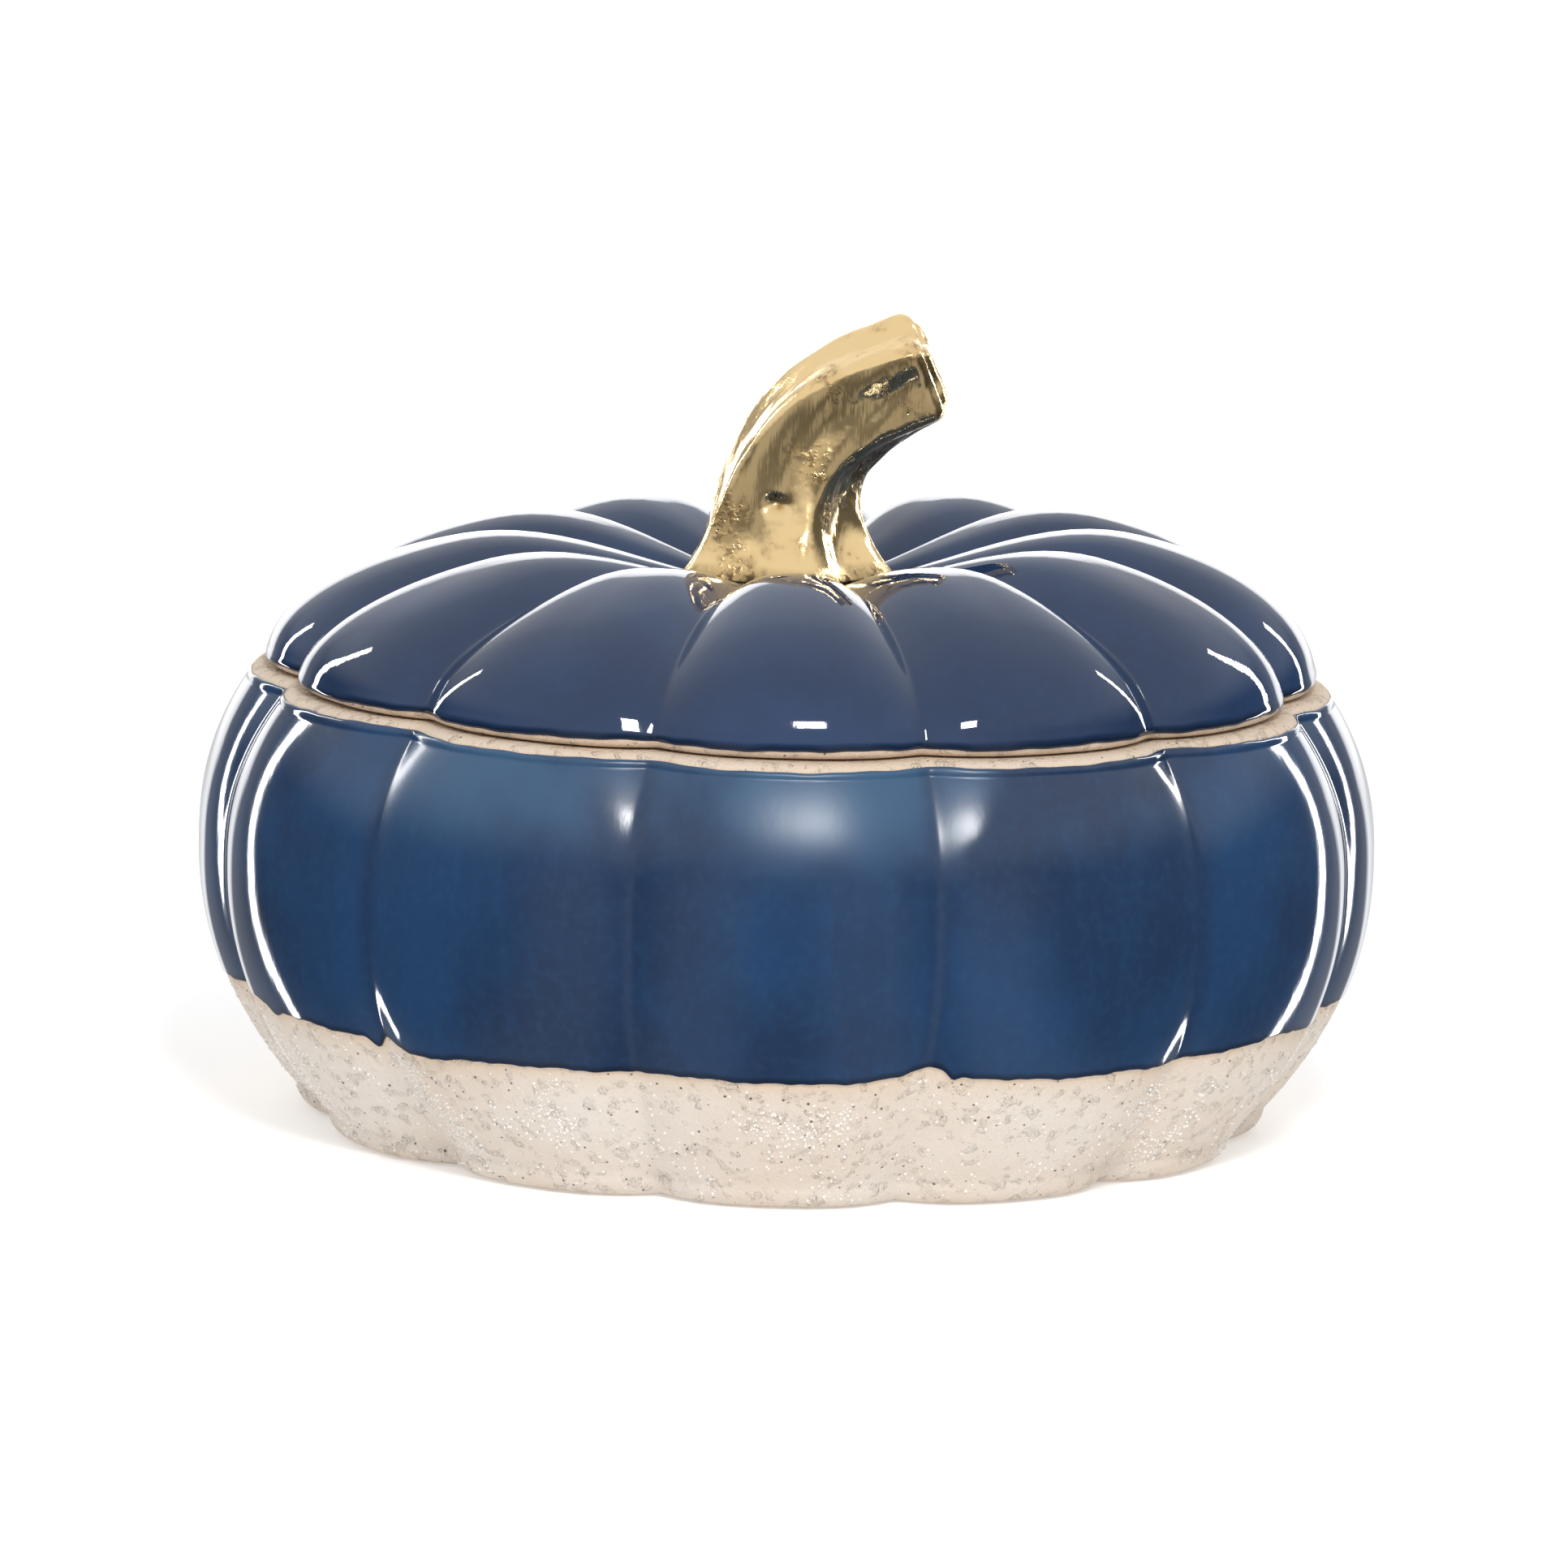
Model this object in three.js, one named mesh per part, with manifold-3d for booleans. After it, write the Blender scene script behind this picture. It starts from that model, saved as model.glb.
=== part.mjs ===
// Lidded ceramic pumpkin dish: a ribbed stoneware bowl, a ribbed lid that drops into the bowl's mouth on a
// locating ring, and a hollow cast stem luted onto the lid's crown.
// Millimetres, +Z up. The origin is the centre of the plane that the foot stands on, and -Y is the front.
import * as THREE from "three";
import { mergeVertices } from "three/addons/utils/BufferGeometryUtils.js";
import Module from "manifold-3d";

const wasm = await Module();
wasm.setup();

// ---- Driving dimensions ----
const RIB_COUNT = 12;
const STEPS_PER_RIB = 6;
const RIB_FULLNESS = 2.8; // power of the rib's section: higher keeps the rib flat until nearer its groove
const FIT_GAP = 0.3; // between faces that rest on each other

// Bowl, outside. Radii are to the rib crests.
const BODY_RADIUS = 99.7; // at the widest height
const WIDEST_HEIGHT = 46.5;
const SEAM_HEIGHT = 76; // where the lid meets the bowl
const FOOT_RADIUS = 79;
const RIM_RADIUS = 90.2;
const LOWER_BULGE = 2.2; // power of the curve from the widest height down to the foot
const UPPER_BULGE = 2.4; // and from there up to the rim
const WAIST_GROOVE = 2.7; // groove depths at the widest height, the foot and the rim
const FOOT_GROOVE = 6.5;
const RIM_GROOVE = 5;
const FOOT_ROUND = 4; // rounding of the edge that meets the table
const SHOULDER_ROUND = 2.4; // rounding of the rim's outer edge

// Bowl, inside and underneath.
const BOWL_WALL = 5;
const FLOOR_HEIGHT = 6.5;
const FLOOR_CORNER = 12; // rounding between floor and wall
const RIM_LEDGE = 10.7; // from the rim's outer edge in to the round mouth that the locating ring drops into
const LIP_DEPTH = 6; // height of the mouth's straight wall
const LIP_SLOPE = 7; // height over which the lip tapers out into the wall
const FOOT_RING = 17; // from the foot's outer edge in to the hollow in the underside
const RECESS_DEPTH = 2;

// Lid.
const RIM_STEP = 1.3; // how far the lid's edge stands in from the rim's
const LID_GROOVE = 4.5; // groove depth at the lid's edge
const LID_EDGE_ROUND = 2;
const LID_EDGE_RUN = 1.5; // height over which the edge's rounding runs into the dome's curve
const DOME_BASE = 0.5; // how far above the seam the dome's curve starts
const CREST_RISE = 26.5; // height of the dome along a rib's crest
const GROOVE_RISE = 22.8; // and along a groove
const CREST_ROUNDNESS = 3; // powers of the dome's curve
const GROOVE_ROUNDNESS = 2.2;
const CROWN_DIP = 12.5; // depth of the hollow that the stem stands in
const CROWN_DIP_RADIUS = 58;
const CROWN_LEAN = 0.11; // the crown is fuller on the +X side by this share of its height
const LID_WALL = 5.2;
const CROWN_THICKENING = 1; // how much thicker the lid's wall is on top, where it carries the stem
const RING_CLEARANCE = 1; // between the locating ring and the mouth
const RING_WALL = 4;
const RING_DEPTH = 6.5; // how far the locating ring reaches below the seam
const RING_BEVEL = 1;
const VENT_RADIUS = 2; // hole into the stem's hollow, which lets the air out in the kiln

// Stem.
const STEM_SINK = 0.7; // how far below the crown's centre the stem's path starts
const FOOT_LIFT = 2.7; // height of the stem's flat foot above the crown's centre; it rests on the rib crests
const STEM_OFFSET = -2; // the foot's centre stands a little off the lid's axis
const NECK_RADIUS = 10.2;
const TIP_RADIUS = 9.2;
const STEM_TAPER = 4; // power of the taper: higher keeps the stem thick for longer
const FOOT_FLARE = 11.2; // how much wider the foot is than the neck
const FLARE_HEIGHT = 8.7;
const STEM_RIDGES = 5;
const NECK_RIDGE = 1.1; // height of the ridges
const TOE_RIDGE = 1.8; // extra height of the ridges at the foot
const RIDGE_SHAPE = 1.4; // power of the ridge's section: higher makes the flutes narrower
const STEM_TWIST = THREE.MathUtils.degToRad(38);
const FIRST_RIDGE = THREE.MathUtils.degToRad(10);
const STEM_LEAN = 24.3; // how far the tip reaches sideways from the foot
const STEM_RISE = 39.2; // height of the tip's centre above the foot
const STEM_RUN = 24; // how far up the foot's direction carries before the bend
const STEM_SWAY = 2; // how far that run leans away from the tip
const TIP_RUN = 22; // how far back the tip's direction carries into the bend
const TIP_ANGLE = THREE.MathUtils.degToRad(68); // from upright
const TIP_ROUND = 1.6;
const STEM_WALL = 4.5;

// How finely the shapes are cut up, in points along each stretch of an outline.
const ROUNDING_POINTS = 4;
const FLOOR_CORNER_POINTS = 5;
const LOWER_WALL_POINTS = 8;
const UPPER_WALL_POINTS = 6;
const INNER_WALL_POINTS = 6;
const LID_EDGE_POINTS = 3;
const DOME_POINTS = 12;
const DOME_HOLLOW_POINTS = 10;
const STEM_POINTS = 16;
const STEM_HOLLOW_POINTS = 7;
const STEM_SIDES = 40;
const BORE_SIDES = 16; // of the vent and of the stem's hollow
const CUT_MARGIN = 1; // how far a cutting shape reaches past the face that it cuts

// ---- What fits from these ----
const MOUTH_RADIUS = RIM_RADIUS - RIM_LEDGE;
const RECESS_RADIUS = FOOT_RADIUS - FOOT_RING;
const LID_RADIUS = RIM_RADIUS - RIM_STEP;
const LID_GROOVE_RADIUS = LID_RADIUS - LID_GROOVE;
const CROWN_WALL = LID_WALL + CROWN_THICKENING;
const RING_BOTTOM = SEAM_HEIGHT - RING_DEPTH;
const CROWN_HEIGHT = SEAM_HEIGHT + DOME_BASE + CREST_RISE - CROWN_DIP;
const STEM_BASE = CROWN_HEIGHT - STEM_SINK;
const STEM_FOOT = CROWN_HEIGHT + FOOT_LIFT;

// ---- Shared helpers ----
const lerp = THREE.MathUtils.lerp;
const point = (x, y) => new THREE.Vector2(x, y);

// Values from first to last in equal steps, both ends included.
function spread(first, last, count) {
  return Array.from({ length: count }, (_, i) => lerp(first, last, i / (count - 1)));
}

// 0 on a rib's crest, 1 in the groove beside it. A crest faces the front.
function ribSection(angle) {
  const turn = (angle / (2 * Math.PI)) * RIB_COUNT;
  const offCrest = 2 * Math.abs(turn - Math.round(turn));
  return offCrest ** RIB_FULLNESS;
}

// A closed manifold-3d solid from a three.js geometry.
function solid(geometry) {
  const bare = geometry.index ? geometry.toNonIndexed() : geometry.clone();
  bare.deleteAttribute("normal");
  bare.deleteAttribute("uv");
  const merged = mergeVertices(bare, 1e-4);
  const index = merged.index.array;
  const triangles = [];
  for (let i = 0; i < index.length; i += 3) {
    const [a, b, c] = index.slice(i, i + 3);
    if (a !== b && b !== c && c !== a) triangles.push(a, b, c);
  }
  const mesh = new wasm.Mesh({
    numProp: 3,
    vertProperties: merged.getAttribute("position").array,
    triVerts: new Uint32Array(triangles),
  });
  return new wasm.Manifold(mesh);
}

// A plain turned solid about Z.
function turned(outline, segments = RIB_COUNT * STEPS_PER_RIB) {
  return solid(new THREE.LatheGeometry(outline, segments).rotateX(Math.PI / 2));
}

// A turned solid whose outline is `crest` along the ribs and `groove` between them. What stands above the
// seam is raised on the +X side by the share `lean` of its height.
function ribbed(crest, groove, lean = 0) {
  const segments = RIB_COUNT * STEPS_PER_RIB;
  const geometry = new THREE.LatheGeometry(crest, segments);
  const position = geometry.getAttribute("position");
  for (let step = 0; step <= segments; step++) {
    const angle = ((step % segments) / segments) * 2 * Math.PI;
    const blend = ribSection(angle);
    crest.forEach((onCrest, row) => {
      const p = onCrest.clone().lerp(groove[row], blend);
      const x = p.x * Math.sin(angle);
      const raised = (lean * Math.max(0, p.y - SEAM_HEIGHT - DOME_BASE) * x) / LID_RADIUS;
      position.setXYZ(step * crest.length + row, x, p.y + raised, p.x * Math.cos(angle));
    });
  }
  return solid(geometry.rotateX(Math.PI / 2));
}

function namedMesh(name, manifold, material) {
  const made = manifold.getMesh();
  const geometry = new THREE.BufferGeometry();
  geometry.setAttribute("position", new THREE.BufferAttribute(made.vertProperties, 3));
  geometry.setIndex(new THREE.BufferAttribute(made.triVerts, 1));
  geometry.computeVertexNormals();
  const mesh = new THREE.Mesh(geometry, material);
  mesh.name = name;
  return mesh;
}

// ---- Bowl ----
// How far a height is from the widest one, from 0 there to 1 at the foot or the rim.
function awayFromWaist(z) {
  const end = z < WIDEST_HEIGHT ? 0 : SEAM_HEIGHT;
  return (z - WIDEST_HEIGHT) / (end - WIDEST_HEIGHT);
}

function crestRadius(z) {
  const [endRadius, bulge] = z < WIDEST_HEIGHT ? [FOOT_RADIUS, LOWER_BULGE] : [RIM_RADIUS, UPPER_BULGE];
  return lerp(BODY_RADIUS, endRadius, awayFromWaist(z) ** bulge);
}

function grooveDepth(z) {
  return lerp(WAIST_GROOVE, z < WIDEST_HEIGHT ? FOOT_GROOVE : RIM_GROOVE, awayFromWaist(z) ** 2);
}

function grooveRadius(z) {
  return crestRadius(z) - grooveDepth(z);
}

// The bowl's outline from the foot to the rim, with the wall's radius at each height given by `radiusAt`.
function bowlOutline(radiusAt) {
  const top = SEAM_HEIGHT - FIT_GAP / 2;
  const shoulder = top - SHOULDER_ROUND;
  const quarter = spread(0, Math.PI / 2, ROUNDING_POINTS);
  const foot = quarter.map((a) =>
    point(radiusAt(FOOT_ROUND) - FOOT_ROUND * (1 - Math.sin(a)), FOOT_ROUND * (1 - Math.cos(a))),
  );
  const lower = spread(FOOT_ROUND, WIDEST_HEIGHT, LOWER_WALL_POINTS).slice(1);
  const upper = spread(WIDEST_HEIGHT, shoulder, UPPER_WALL_POINTS).slice(1, -1);
  const wall = [...lower, ...upper].map((z) => point(radiusAt(z), z));
  const rim = quarter.map((a) =>
    point(radiusAt(shoulder) - SHOULDER_ROUND * (1 - Math.cos(a)), shoulder + SHOULDER_ROUND * Math.sin(a)),
  );
  return [point(0, 0), ...foot, ...wall, ...rim, point(0, top)];
}

// The hollow inside the bowl, up through its round mouth.
function bowlHollowOutline(radiusAt) {
  const lipBottom = SEAM_HEIGHT - LIP_DEPTH;
  const lipOutside = lipBottom - LIP_SLOPE;
  const corner = spread(0, Math.PI / 2, FLOOR_CORNER_POINTS).map((a) => {
    const z = FLOOR_HEIGHT + FLOOR_CORNER * (1 - Math.cos(a));
    return point(radiusAt(z) - BOWL_WALL - FLOOR_CORNER * (1 - Math.sin(a)), z);
  });
  const wall = spread(FLOOR_HEIGHT + FLOOR_CORNER, lipOutside, INNER_WALL_POINTS)
    .slice(1)
    .map((z) => point(radiusAt(z) - BOWL_WALL, z));
  const top = SEAM_HEIGHT + CUT_MARGIN;
  const mouth = [point(MOUTH_RADIUS, lipBottom), point(MOUTH_RADIUS, top)];
  return [point(0, FLOOR_HEIGHT), ...corner, ...wall, ...mouth, point(0, top)];
}

function makeBowl() {
  const outside = ribbed(bowlOutline(crestRadius), bowlOutline(grooveRadius));
  const hollow = ribbed(bowlHollowOutline(crestRadius), bowlHollowOutline(grooveRadius));
  const recess = turned([
    point(0, -CUT_MARGIN),
    point(RECESS_RADIUS, -CUT_MARGIN),
    point(RECESS_RADIUS, 0),
    point(RECESS_RADIUS - RECESS_DEPTH, RECESS_DEPTH),
    point(0, RECESS_DEPTH),
  ]);
  return outside.subtract(hollow).subtract(recess);
}

// ---- Lid ----
// A dome's outline along a crest or a groove, from the edge at angle `start` up to the crown's centre.
function domeOutline(radius, rise, crownRise, roundness, start, rows) {
  return spread(start, Math.PI / 2, rows).map((a, row) => {
    const r = row === rows - 1 ? 0 : radius * Math.cos(a) ** (2 / roundness);
    const nearAxis = Math.max(0, 1 - r / NECK_RADIUS);
    const acrossDip = Math.min(1, r / CROWN_DIP_RADIUS);
    const dip = CROWN_DIP * Math.cos((Math.PI / 2) * acrossDip) ** 2;
    const height = lerp(rise, crownRise, nearAxis) * Math.sin(a) - dip;
    return point(r, SEAM_HEIGHT + DOME_BASE + height);
  });
}

// The lid's outside: a flat underside, a rounded edge and the dome above it.
function lidOutline(radius, rise, roundness) {
  const bottom = SEAM_HEIGHT + FIT_GAP / 2;
  const edge = spread(0, Math.PI / 2, LID_EDGE_POINTS).map((a) =>
    point(radius - LID_EDGE_ROUND * (1 - Math.sin(a)), bottom + LID_EDGE_ROUND * (1 - Math.cos(a))),
  );
  const domeStart = Math.asin((LID_EDGE_ROUND + LID_EDGE_RUN) / rise);
  const dome = domeOutline(radius, rise, CREST_RISE, roundness, domeStart, DOME_POINTS);
  return [point(0, bottom), ...edge, ...dome];
}

function lidHollowOutline(radius, rise, roundness) {
  const bottom = RING_BOTTOM - CUT_MARGIN;
  const dome = domeOutline(radius, rise, CREST_RISE - CROWN_WALL, roundness, 0, DOME_HOLLOW_POINTS);
  return [point(0, bottom), point(radius, bottom), ...dome];
}

// The lid's whole outer shape, filled in, down to the seam.
const lidOutside = ribbed(
  lidOutline(LID_RADIUS, CREST_RISE, CREST_ROUNDNESS),
  lidOutline(LID_GROOVE_RADIUS, GROOVE_RISE, GROOVE_ROUNDNESS),
  CROWN_LEAN,
);

function makeLid() {
  const ringRadius = MOUTH_RADIUS - RING_CLEARANCE;
  const insideRadius = ringRadius - RING_WALL;
  const ring = turned([
    point(0, RING_BOTTOM),
    point(ringRadius - RING_BEVEL, RING_BOTTOM),
    point(ringRadius, RING_BOTTOM + RING_BEVEL),
    point(ringRadius, SEAM_HEIGHT + LID_WALL),
    point(0, SEAM_HEIGHT + LID_WALL),
  ]);
  const underDome = ribbed(
    lidHollowOutline(LID_RADIUS - LID_WALL, CREST_RISE - CROWN_WALL, CREST_ROUNDNESS),
    lidHollowOutline(LID_GROOVE_RADIUS - LID_WALL, GROOVE_RISE - CROWN_WALL, GROOVE_ROUNDNESS),
    CROWN_LEAN,
  );
  const insideRing = turned([
    point(0, RING_BOTTOM - CUT_MARGIN),
    point(insideRadius, RING_BOTTOM - CUT_MARGIN),
    point(insideRadius, SEAM_HEIGHT + CREST_RISE),
    point(0, SEAM_HEIGHT + CREST_RISE),
  ]);
  const ventTop = CROWN_HEIGHT + CUT_MARGIN;
  const vent = turned(
    [
      point(0, SEAM_HEIGHT),
      point(VENT_RADIUS, SEAM_HEIGHT),
      point(VENT_RADIUS, ventTop),
      point(0, ventTop),
    ],
    BORE_SIDES,
  ).translate([STEM_OFFSET, 0, 0]);
  return lidOutside.add(ring).subtract(underDome.intersect(insideRing)).subtract(vent);
}

// ---- Stem ----
const stemFoot = new THREE.Vector3(STEM_OFFSET, 0, STEM_BASE);
const stemTip = new THREE.Vector3(STEM_OFFSET + STEM_LEAN, 0, STEM_BASE + STEM_RISE);
const tipDirection = new THREE.Vector3(Math.sin(TIP_ANGLE), 0, Math.cos(TIP_ANGLE));
const stemPath = new THREE.CubicBezierCurve3(
  stemFoot,
  stemFoot.clone().add(new THREE.Vector3(-STEM_SWAY, 0, STEM_RUN)),
  stemTip.clone().addScaledVector(tipDirection, -TIP_RUN),
  stemTip,
);
const STEM_LENGTH = stemPath.getLength();

function stemRadius(along) {
  const taper = (along / STEM_LENGTH) ** STEM_TAPER;
  return lerp(NECK_RADIUS, TIP_RADIUS, taper) + FOOT_FLARE * Math.exp(-along / FLARE_HEIGHT);
}

// Height of the stem's surface above its mean radius: rounded ridges with hollow flutes between them.
function ridgeHeight(angle, along) {
  const turn = angle - FIRST_RIDGE - STEM_TWIST * (along / STEM_LENGTH);
  const ridge = 1 - 2 * Math.abs(Math.sin((turn * STEM_RIDGES) / 2)) ** RIDGE_SHAPE;
  return ridge * (NECK_RIDGE + TOE_RIDGE * Math.exp(-along / FLARE_HEIGHT));
}

// Carries a solid of turned geometry that stands on the XY plane onto the stem's path.
function bentAlongStem(geometry) {
  const position = geometry.getAttribute("position");
  for (let i = 0; i < position.count; i++) {
    const along = position.getZ(i);
    const share = THREE.MathUtils.clamp(along / STEM_LENGTH, 0, 1);
    const centre = stemPath.getPointAt(share);
    const tangent = stemPath.getTangentAt(share);
    centre.addScaledVector(tangent, along - share * STEM_LENGTH);
    const x = position.getX(i);
    position.setXYZ(i, centre.x + x * tangent.z, position.getY(i), centre.z - x * tangent.x);
  }
  return geometry;
}

function stemOutside() {
  const wall = spread(0, STEM_LENGTH - TIP_ROUND, STEM_POINTS).map((s) => point(stemRadius(s), s));
  const tip = spread(0, Math.PI / 2, ROUNDING_POINTS)
    .slice(1)
    .map((a) => [TIP_ROUND * (1 - Math.cos(a)), TIP_ROUND * (1 - Math.sin(a))])
    .map(([inward, fromEnd]) => point(TIP_RADIUS - inward, STEM_LENGTH - fromEnd));
  const outline = [point(0, 0), ...wall, ...tip, point(0, STEM_LENGTH)];
  const geometry = new THREE.LatheGeometry(outline, STEM_SIDES);
  const position = geometry.getAttribute("position");
  for (let side = 0; side <= STEM_SIDES; side++) {
    const angle = ((side % STEM_SIDES) / STEM_SIDES) * 2 * Math.PI;
    outline.forEach((p, row) => {
      const r = p.x === 0 ? 0 : p.x + ridgeHeight(angle, p.y);
      position.setXYZ(side * outline.length + row, r * Math.sin(angle), p.y, r * Math.cos(angle));
    });
  }
  return solid(bentAlongStem(geometry.rotateX(Math.PI / 2)));
}

function makeStem() {
  const hollowEnd = STEM_LENGTH - 2 * STEM_WALL;
  const endRadius = stemRadius(hollowEnd) - STEM_WALL;
  const wall = spread(-CUT_MARGIN, hollowEnd - endRadius, STEM_HOLLOW_POINTS).map((along) =>
    point(stemRadius(Math.max(0, along)) - STEM_WALL, along),
  );
  const end = spread(0, Math.PI / 2, ROUNDING_POINTS)
    .slice(1, -1)
    .map((a) => point(endRadius * Math.cos(a), hollowEnd - endRadius * (1 - Math.sin(a))));
  const outline = [point(0, -CUT_MARGIN), ...wall, ...end, point(0, hollowEnd)];
  const hollow = solid(bentAlongStem(new THREE.LatheGeometry(outline, BORE_SIDES).rotateX(Math.PI / 2)));
  const underFoot = turned([
    point(0, SEAM_HEIGHT),
    point(LID_RADIUS, SEAM_HEIGHT),
    point(LID_RADIUS, STEM_FOOT),
    point(0, STEM_FOOT),
  ]);
  const seat = lidOutside.translate([0, 0, FIT_GAP]);
  return stemOutside().subtract(hollow).subtract(underFoot).subtract(seat);
}

// ---- Assembly ----
const glaze = new THREE.MeshStandardMaterial({ color: 0x1d3a68, roughness: 0.08, metalness: 0 });
const lustre = new THREE.MeshStandardMaterial({ color: 0xd9b568, roughness: 0.18, metalness: 1 });

const dish = new THREE.Group();
const liftOff = new THREE.Group();
liftOff.add(namedMesh("lid", makeLid(), glaze), namedMesh("stem", makeStem(), lustre));
dish.add(namedMesh("bowl", makeBowl(), glaze), liftOff);

export default dish;
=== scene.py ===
# %% [markdown]
# # A lidded pumpkin dish in glazed stoneware
# The object is plain pottery: a ribbed bowl, a ribbed lid that drops into it, and a curved stem to lift it
# by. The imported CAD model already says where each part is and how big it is, so this lesson makes only the
# looks: fine clay walls, coats of glaze with real thickness, grit in the bare clay, and gold lustre on the
# stem.

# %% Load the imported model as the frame
import math

import bpy
import numpy as np
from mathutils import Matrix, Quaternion, Vector


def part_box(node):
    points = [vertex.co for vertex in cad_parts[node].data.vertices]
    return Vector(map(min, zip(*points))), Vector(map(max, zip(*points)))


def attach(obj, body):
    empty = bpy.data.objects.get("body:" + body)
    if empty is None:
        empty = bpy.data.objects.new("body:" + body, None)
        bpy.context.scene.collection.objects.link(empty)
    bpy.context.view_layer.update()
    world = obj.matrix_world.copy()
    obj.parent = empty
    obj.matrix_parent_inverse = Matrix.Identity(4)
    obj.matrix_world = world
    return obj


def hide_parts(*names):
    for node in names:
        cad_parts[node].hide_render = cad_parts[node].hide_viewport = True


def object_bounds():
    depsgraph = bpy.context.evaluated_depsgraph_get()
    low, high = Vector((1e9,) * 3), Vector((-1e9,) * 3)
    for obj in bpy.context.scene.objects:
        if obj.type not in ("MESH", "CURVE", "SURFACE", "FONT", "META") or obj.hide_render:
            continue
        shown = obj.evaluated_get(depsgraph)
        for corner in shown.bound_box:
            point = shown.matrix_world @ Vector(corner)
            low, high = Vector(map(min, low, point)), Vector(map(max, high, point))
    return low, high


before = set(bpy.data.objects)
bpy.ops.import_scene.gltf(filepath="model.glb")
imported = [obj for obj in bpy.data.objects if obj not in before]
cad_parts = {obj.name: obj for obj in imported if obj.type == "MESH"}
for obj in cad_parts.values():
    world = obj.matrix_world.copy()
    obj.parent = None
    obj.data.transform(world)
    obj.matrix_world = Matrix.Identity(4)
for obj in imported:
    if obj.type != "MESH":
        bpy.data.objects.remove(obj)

CAD_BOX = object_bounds()
MM = 0.001
print("CAD box in mm:", [[round(v / MM, 1) for v in corner] for corner in CAD_BOX])

# %% [markdown]
# ## The camera
# A long lens two metres away flattens the view, which is how small ware is usually shown. The dish is seen
# leaning a degree and a half clockwise, and the simplest way to show that is to roll the camera the other
# way, so that the model itself stays upright.

# %% Place the camera
VIEW_DISTANCE = 2.0
VIEW_ELEVATION = math.radians(9.83)
VIEW_ROLL = math.radians(1.53)
LENS = 269.7
AIM_FROM_CENTRE = Vector((-0.7, 0.0, -12.1)) * MM  # the view's middle is a little below the dish's


def put_in_scene(name, data):
    made = bpy.data.objects.new(name, data)
    bpy.context.scene.collection.objects.link(made)
    return made


def place_camera():
    camera = put_in_scene("camera", bpy.data.cameras.new("camera"))
    camera.data.lens = LENS
    aim = (CAD_BOX[0] + CAD_BOX[1]) / 2 + AIM_FROM_CENTRE
    aim.x = AIM_FROM_CENTRE.x
    back = Vector((0, -math.cos(VIEW_ELEVATION), math.sin(VIEW_ELEVATION)))
    camera.location = aim + back * VIEW_DISTANCE
    camera.rotation_mode = "QUATERNION"
    upright = (-back).to_track_quat("-Z", "Y")
    camera.rotation_quaternion = upright @ Quaternion((0, 0, 1), VIEW_ROLL)
    camera.data.clip_start, camera.data.clip_end = 0.1, 20
    bpy.context.scene.camera = camera
    return camera


print("camera at", [round(v, 3) for v in place_camera().location])

# %% [markdown]
# ## Helpers for node trees
# Every procedural effect below is a node tree, so a few helpers come first: one adds a node and joins its
# inputs in order, some name the sums that are used most, and one makes a tree with named inputs. Named
# inputs are what make a tree reusable.

# %% Make node-tree helpers
def wire(tree, kind, *sources, **settings):
    """Adds a node, joins each source, a socket or a value, to its inputs in order; returns its outputs."""
    node = tree.nodes.new(kind)
    for key, value in settings.items():
        setattr(node, key, value)
    for socket, source in zip([s for s in node.inputs if s.enabled], sources):
        if isinstance(source, bpy.types.NodeSocket):
            tree.links.new(source, socket)
        elif source is not None:
            socket.default_value = source
    return [s for s in node.outputs if s.enabled]


def calc(operation, *sources):
    """A Math node, which shader and geometry trees share; its tree is the one that its sockets belong to."""
    tree = next(source.id_data for source in sources if isinstance(source, bpy.types.NodeSocket))
    return wire(tree, "ShaderNodeMath", *sources, operation=operation)[0]


def named_calc(operation):
    return lambda *sources: calc(operation, *sources)


times, plus, minus, divided, power, larger, times_plus = map(named_calc, (
    "MULTIPLY", "ADD", "SUBTRACT", "DIVIDE", "POWER", "MAXIMUM", "MULTIPLY_ADD"))
SOCKETS = {"value": "NodeSocketFloat", "count": "NodeSocketInt", "vector": "NodeSocketVector",
           "material": "NodeSocketMaterial", "geometry": "NodeSocketGeometry"}


def new_tree(name, kind, inputs, outputs):
    """A node tree with named inputs and outputs; returns it with its input sockets by name."""
    tree = bpy.data.node_groups.new(name, kind)
    for label, (socket, value) in inputs.items():
        made = tree.interface.new_socket(label, in_out="INPUT", socket_type=SOCKETS[socket])
        if value is not None:
            made.default_value = value
    for label, socket in outputs.items():
        tree.interface.new_socket(label, in_out="OUTPUT", socket_type=SOCKETS[socket])
    group_in = tree.nodes.new("NodeGroupInput")
    return tree, {s.name: s for s in group_in.outputs if s.name}


def finish_tree(tree, **outputs):
    group_out = tree.nodes.new("NodeGroupOutput")
    for label, source in outputs.items():
        tree.links.new(source, group_out.inputs[label])


# %% [markdown]
# ## Patterns that several finishes share
# Glaze, clay and gold all vary over their surface, so the variation is made once as shader node groups.
# `cloudy` gives soft clouds and vertical runs, `pits` gives small scattered dots, each in its own cell, and
# `fine_grain` gives a height for a dry, sandy surface. They read object coordinates in metres.

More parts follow.
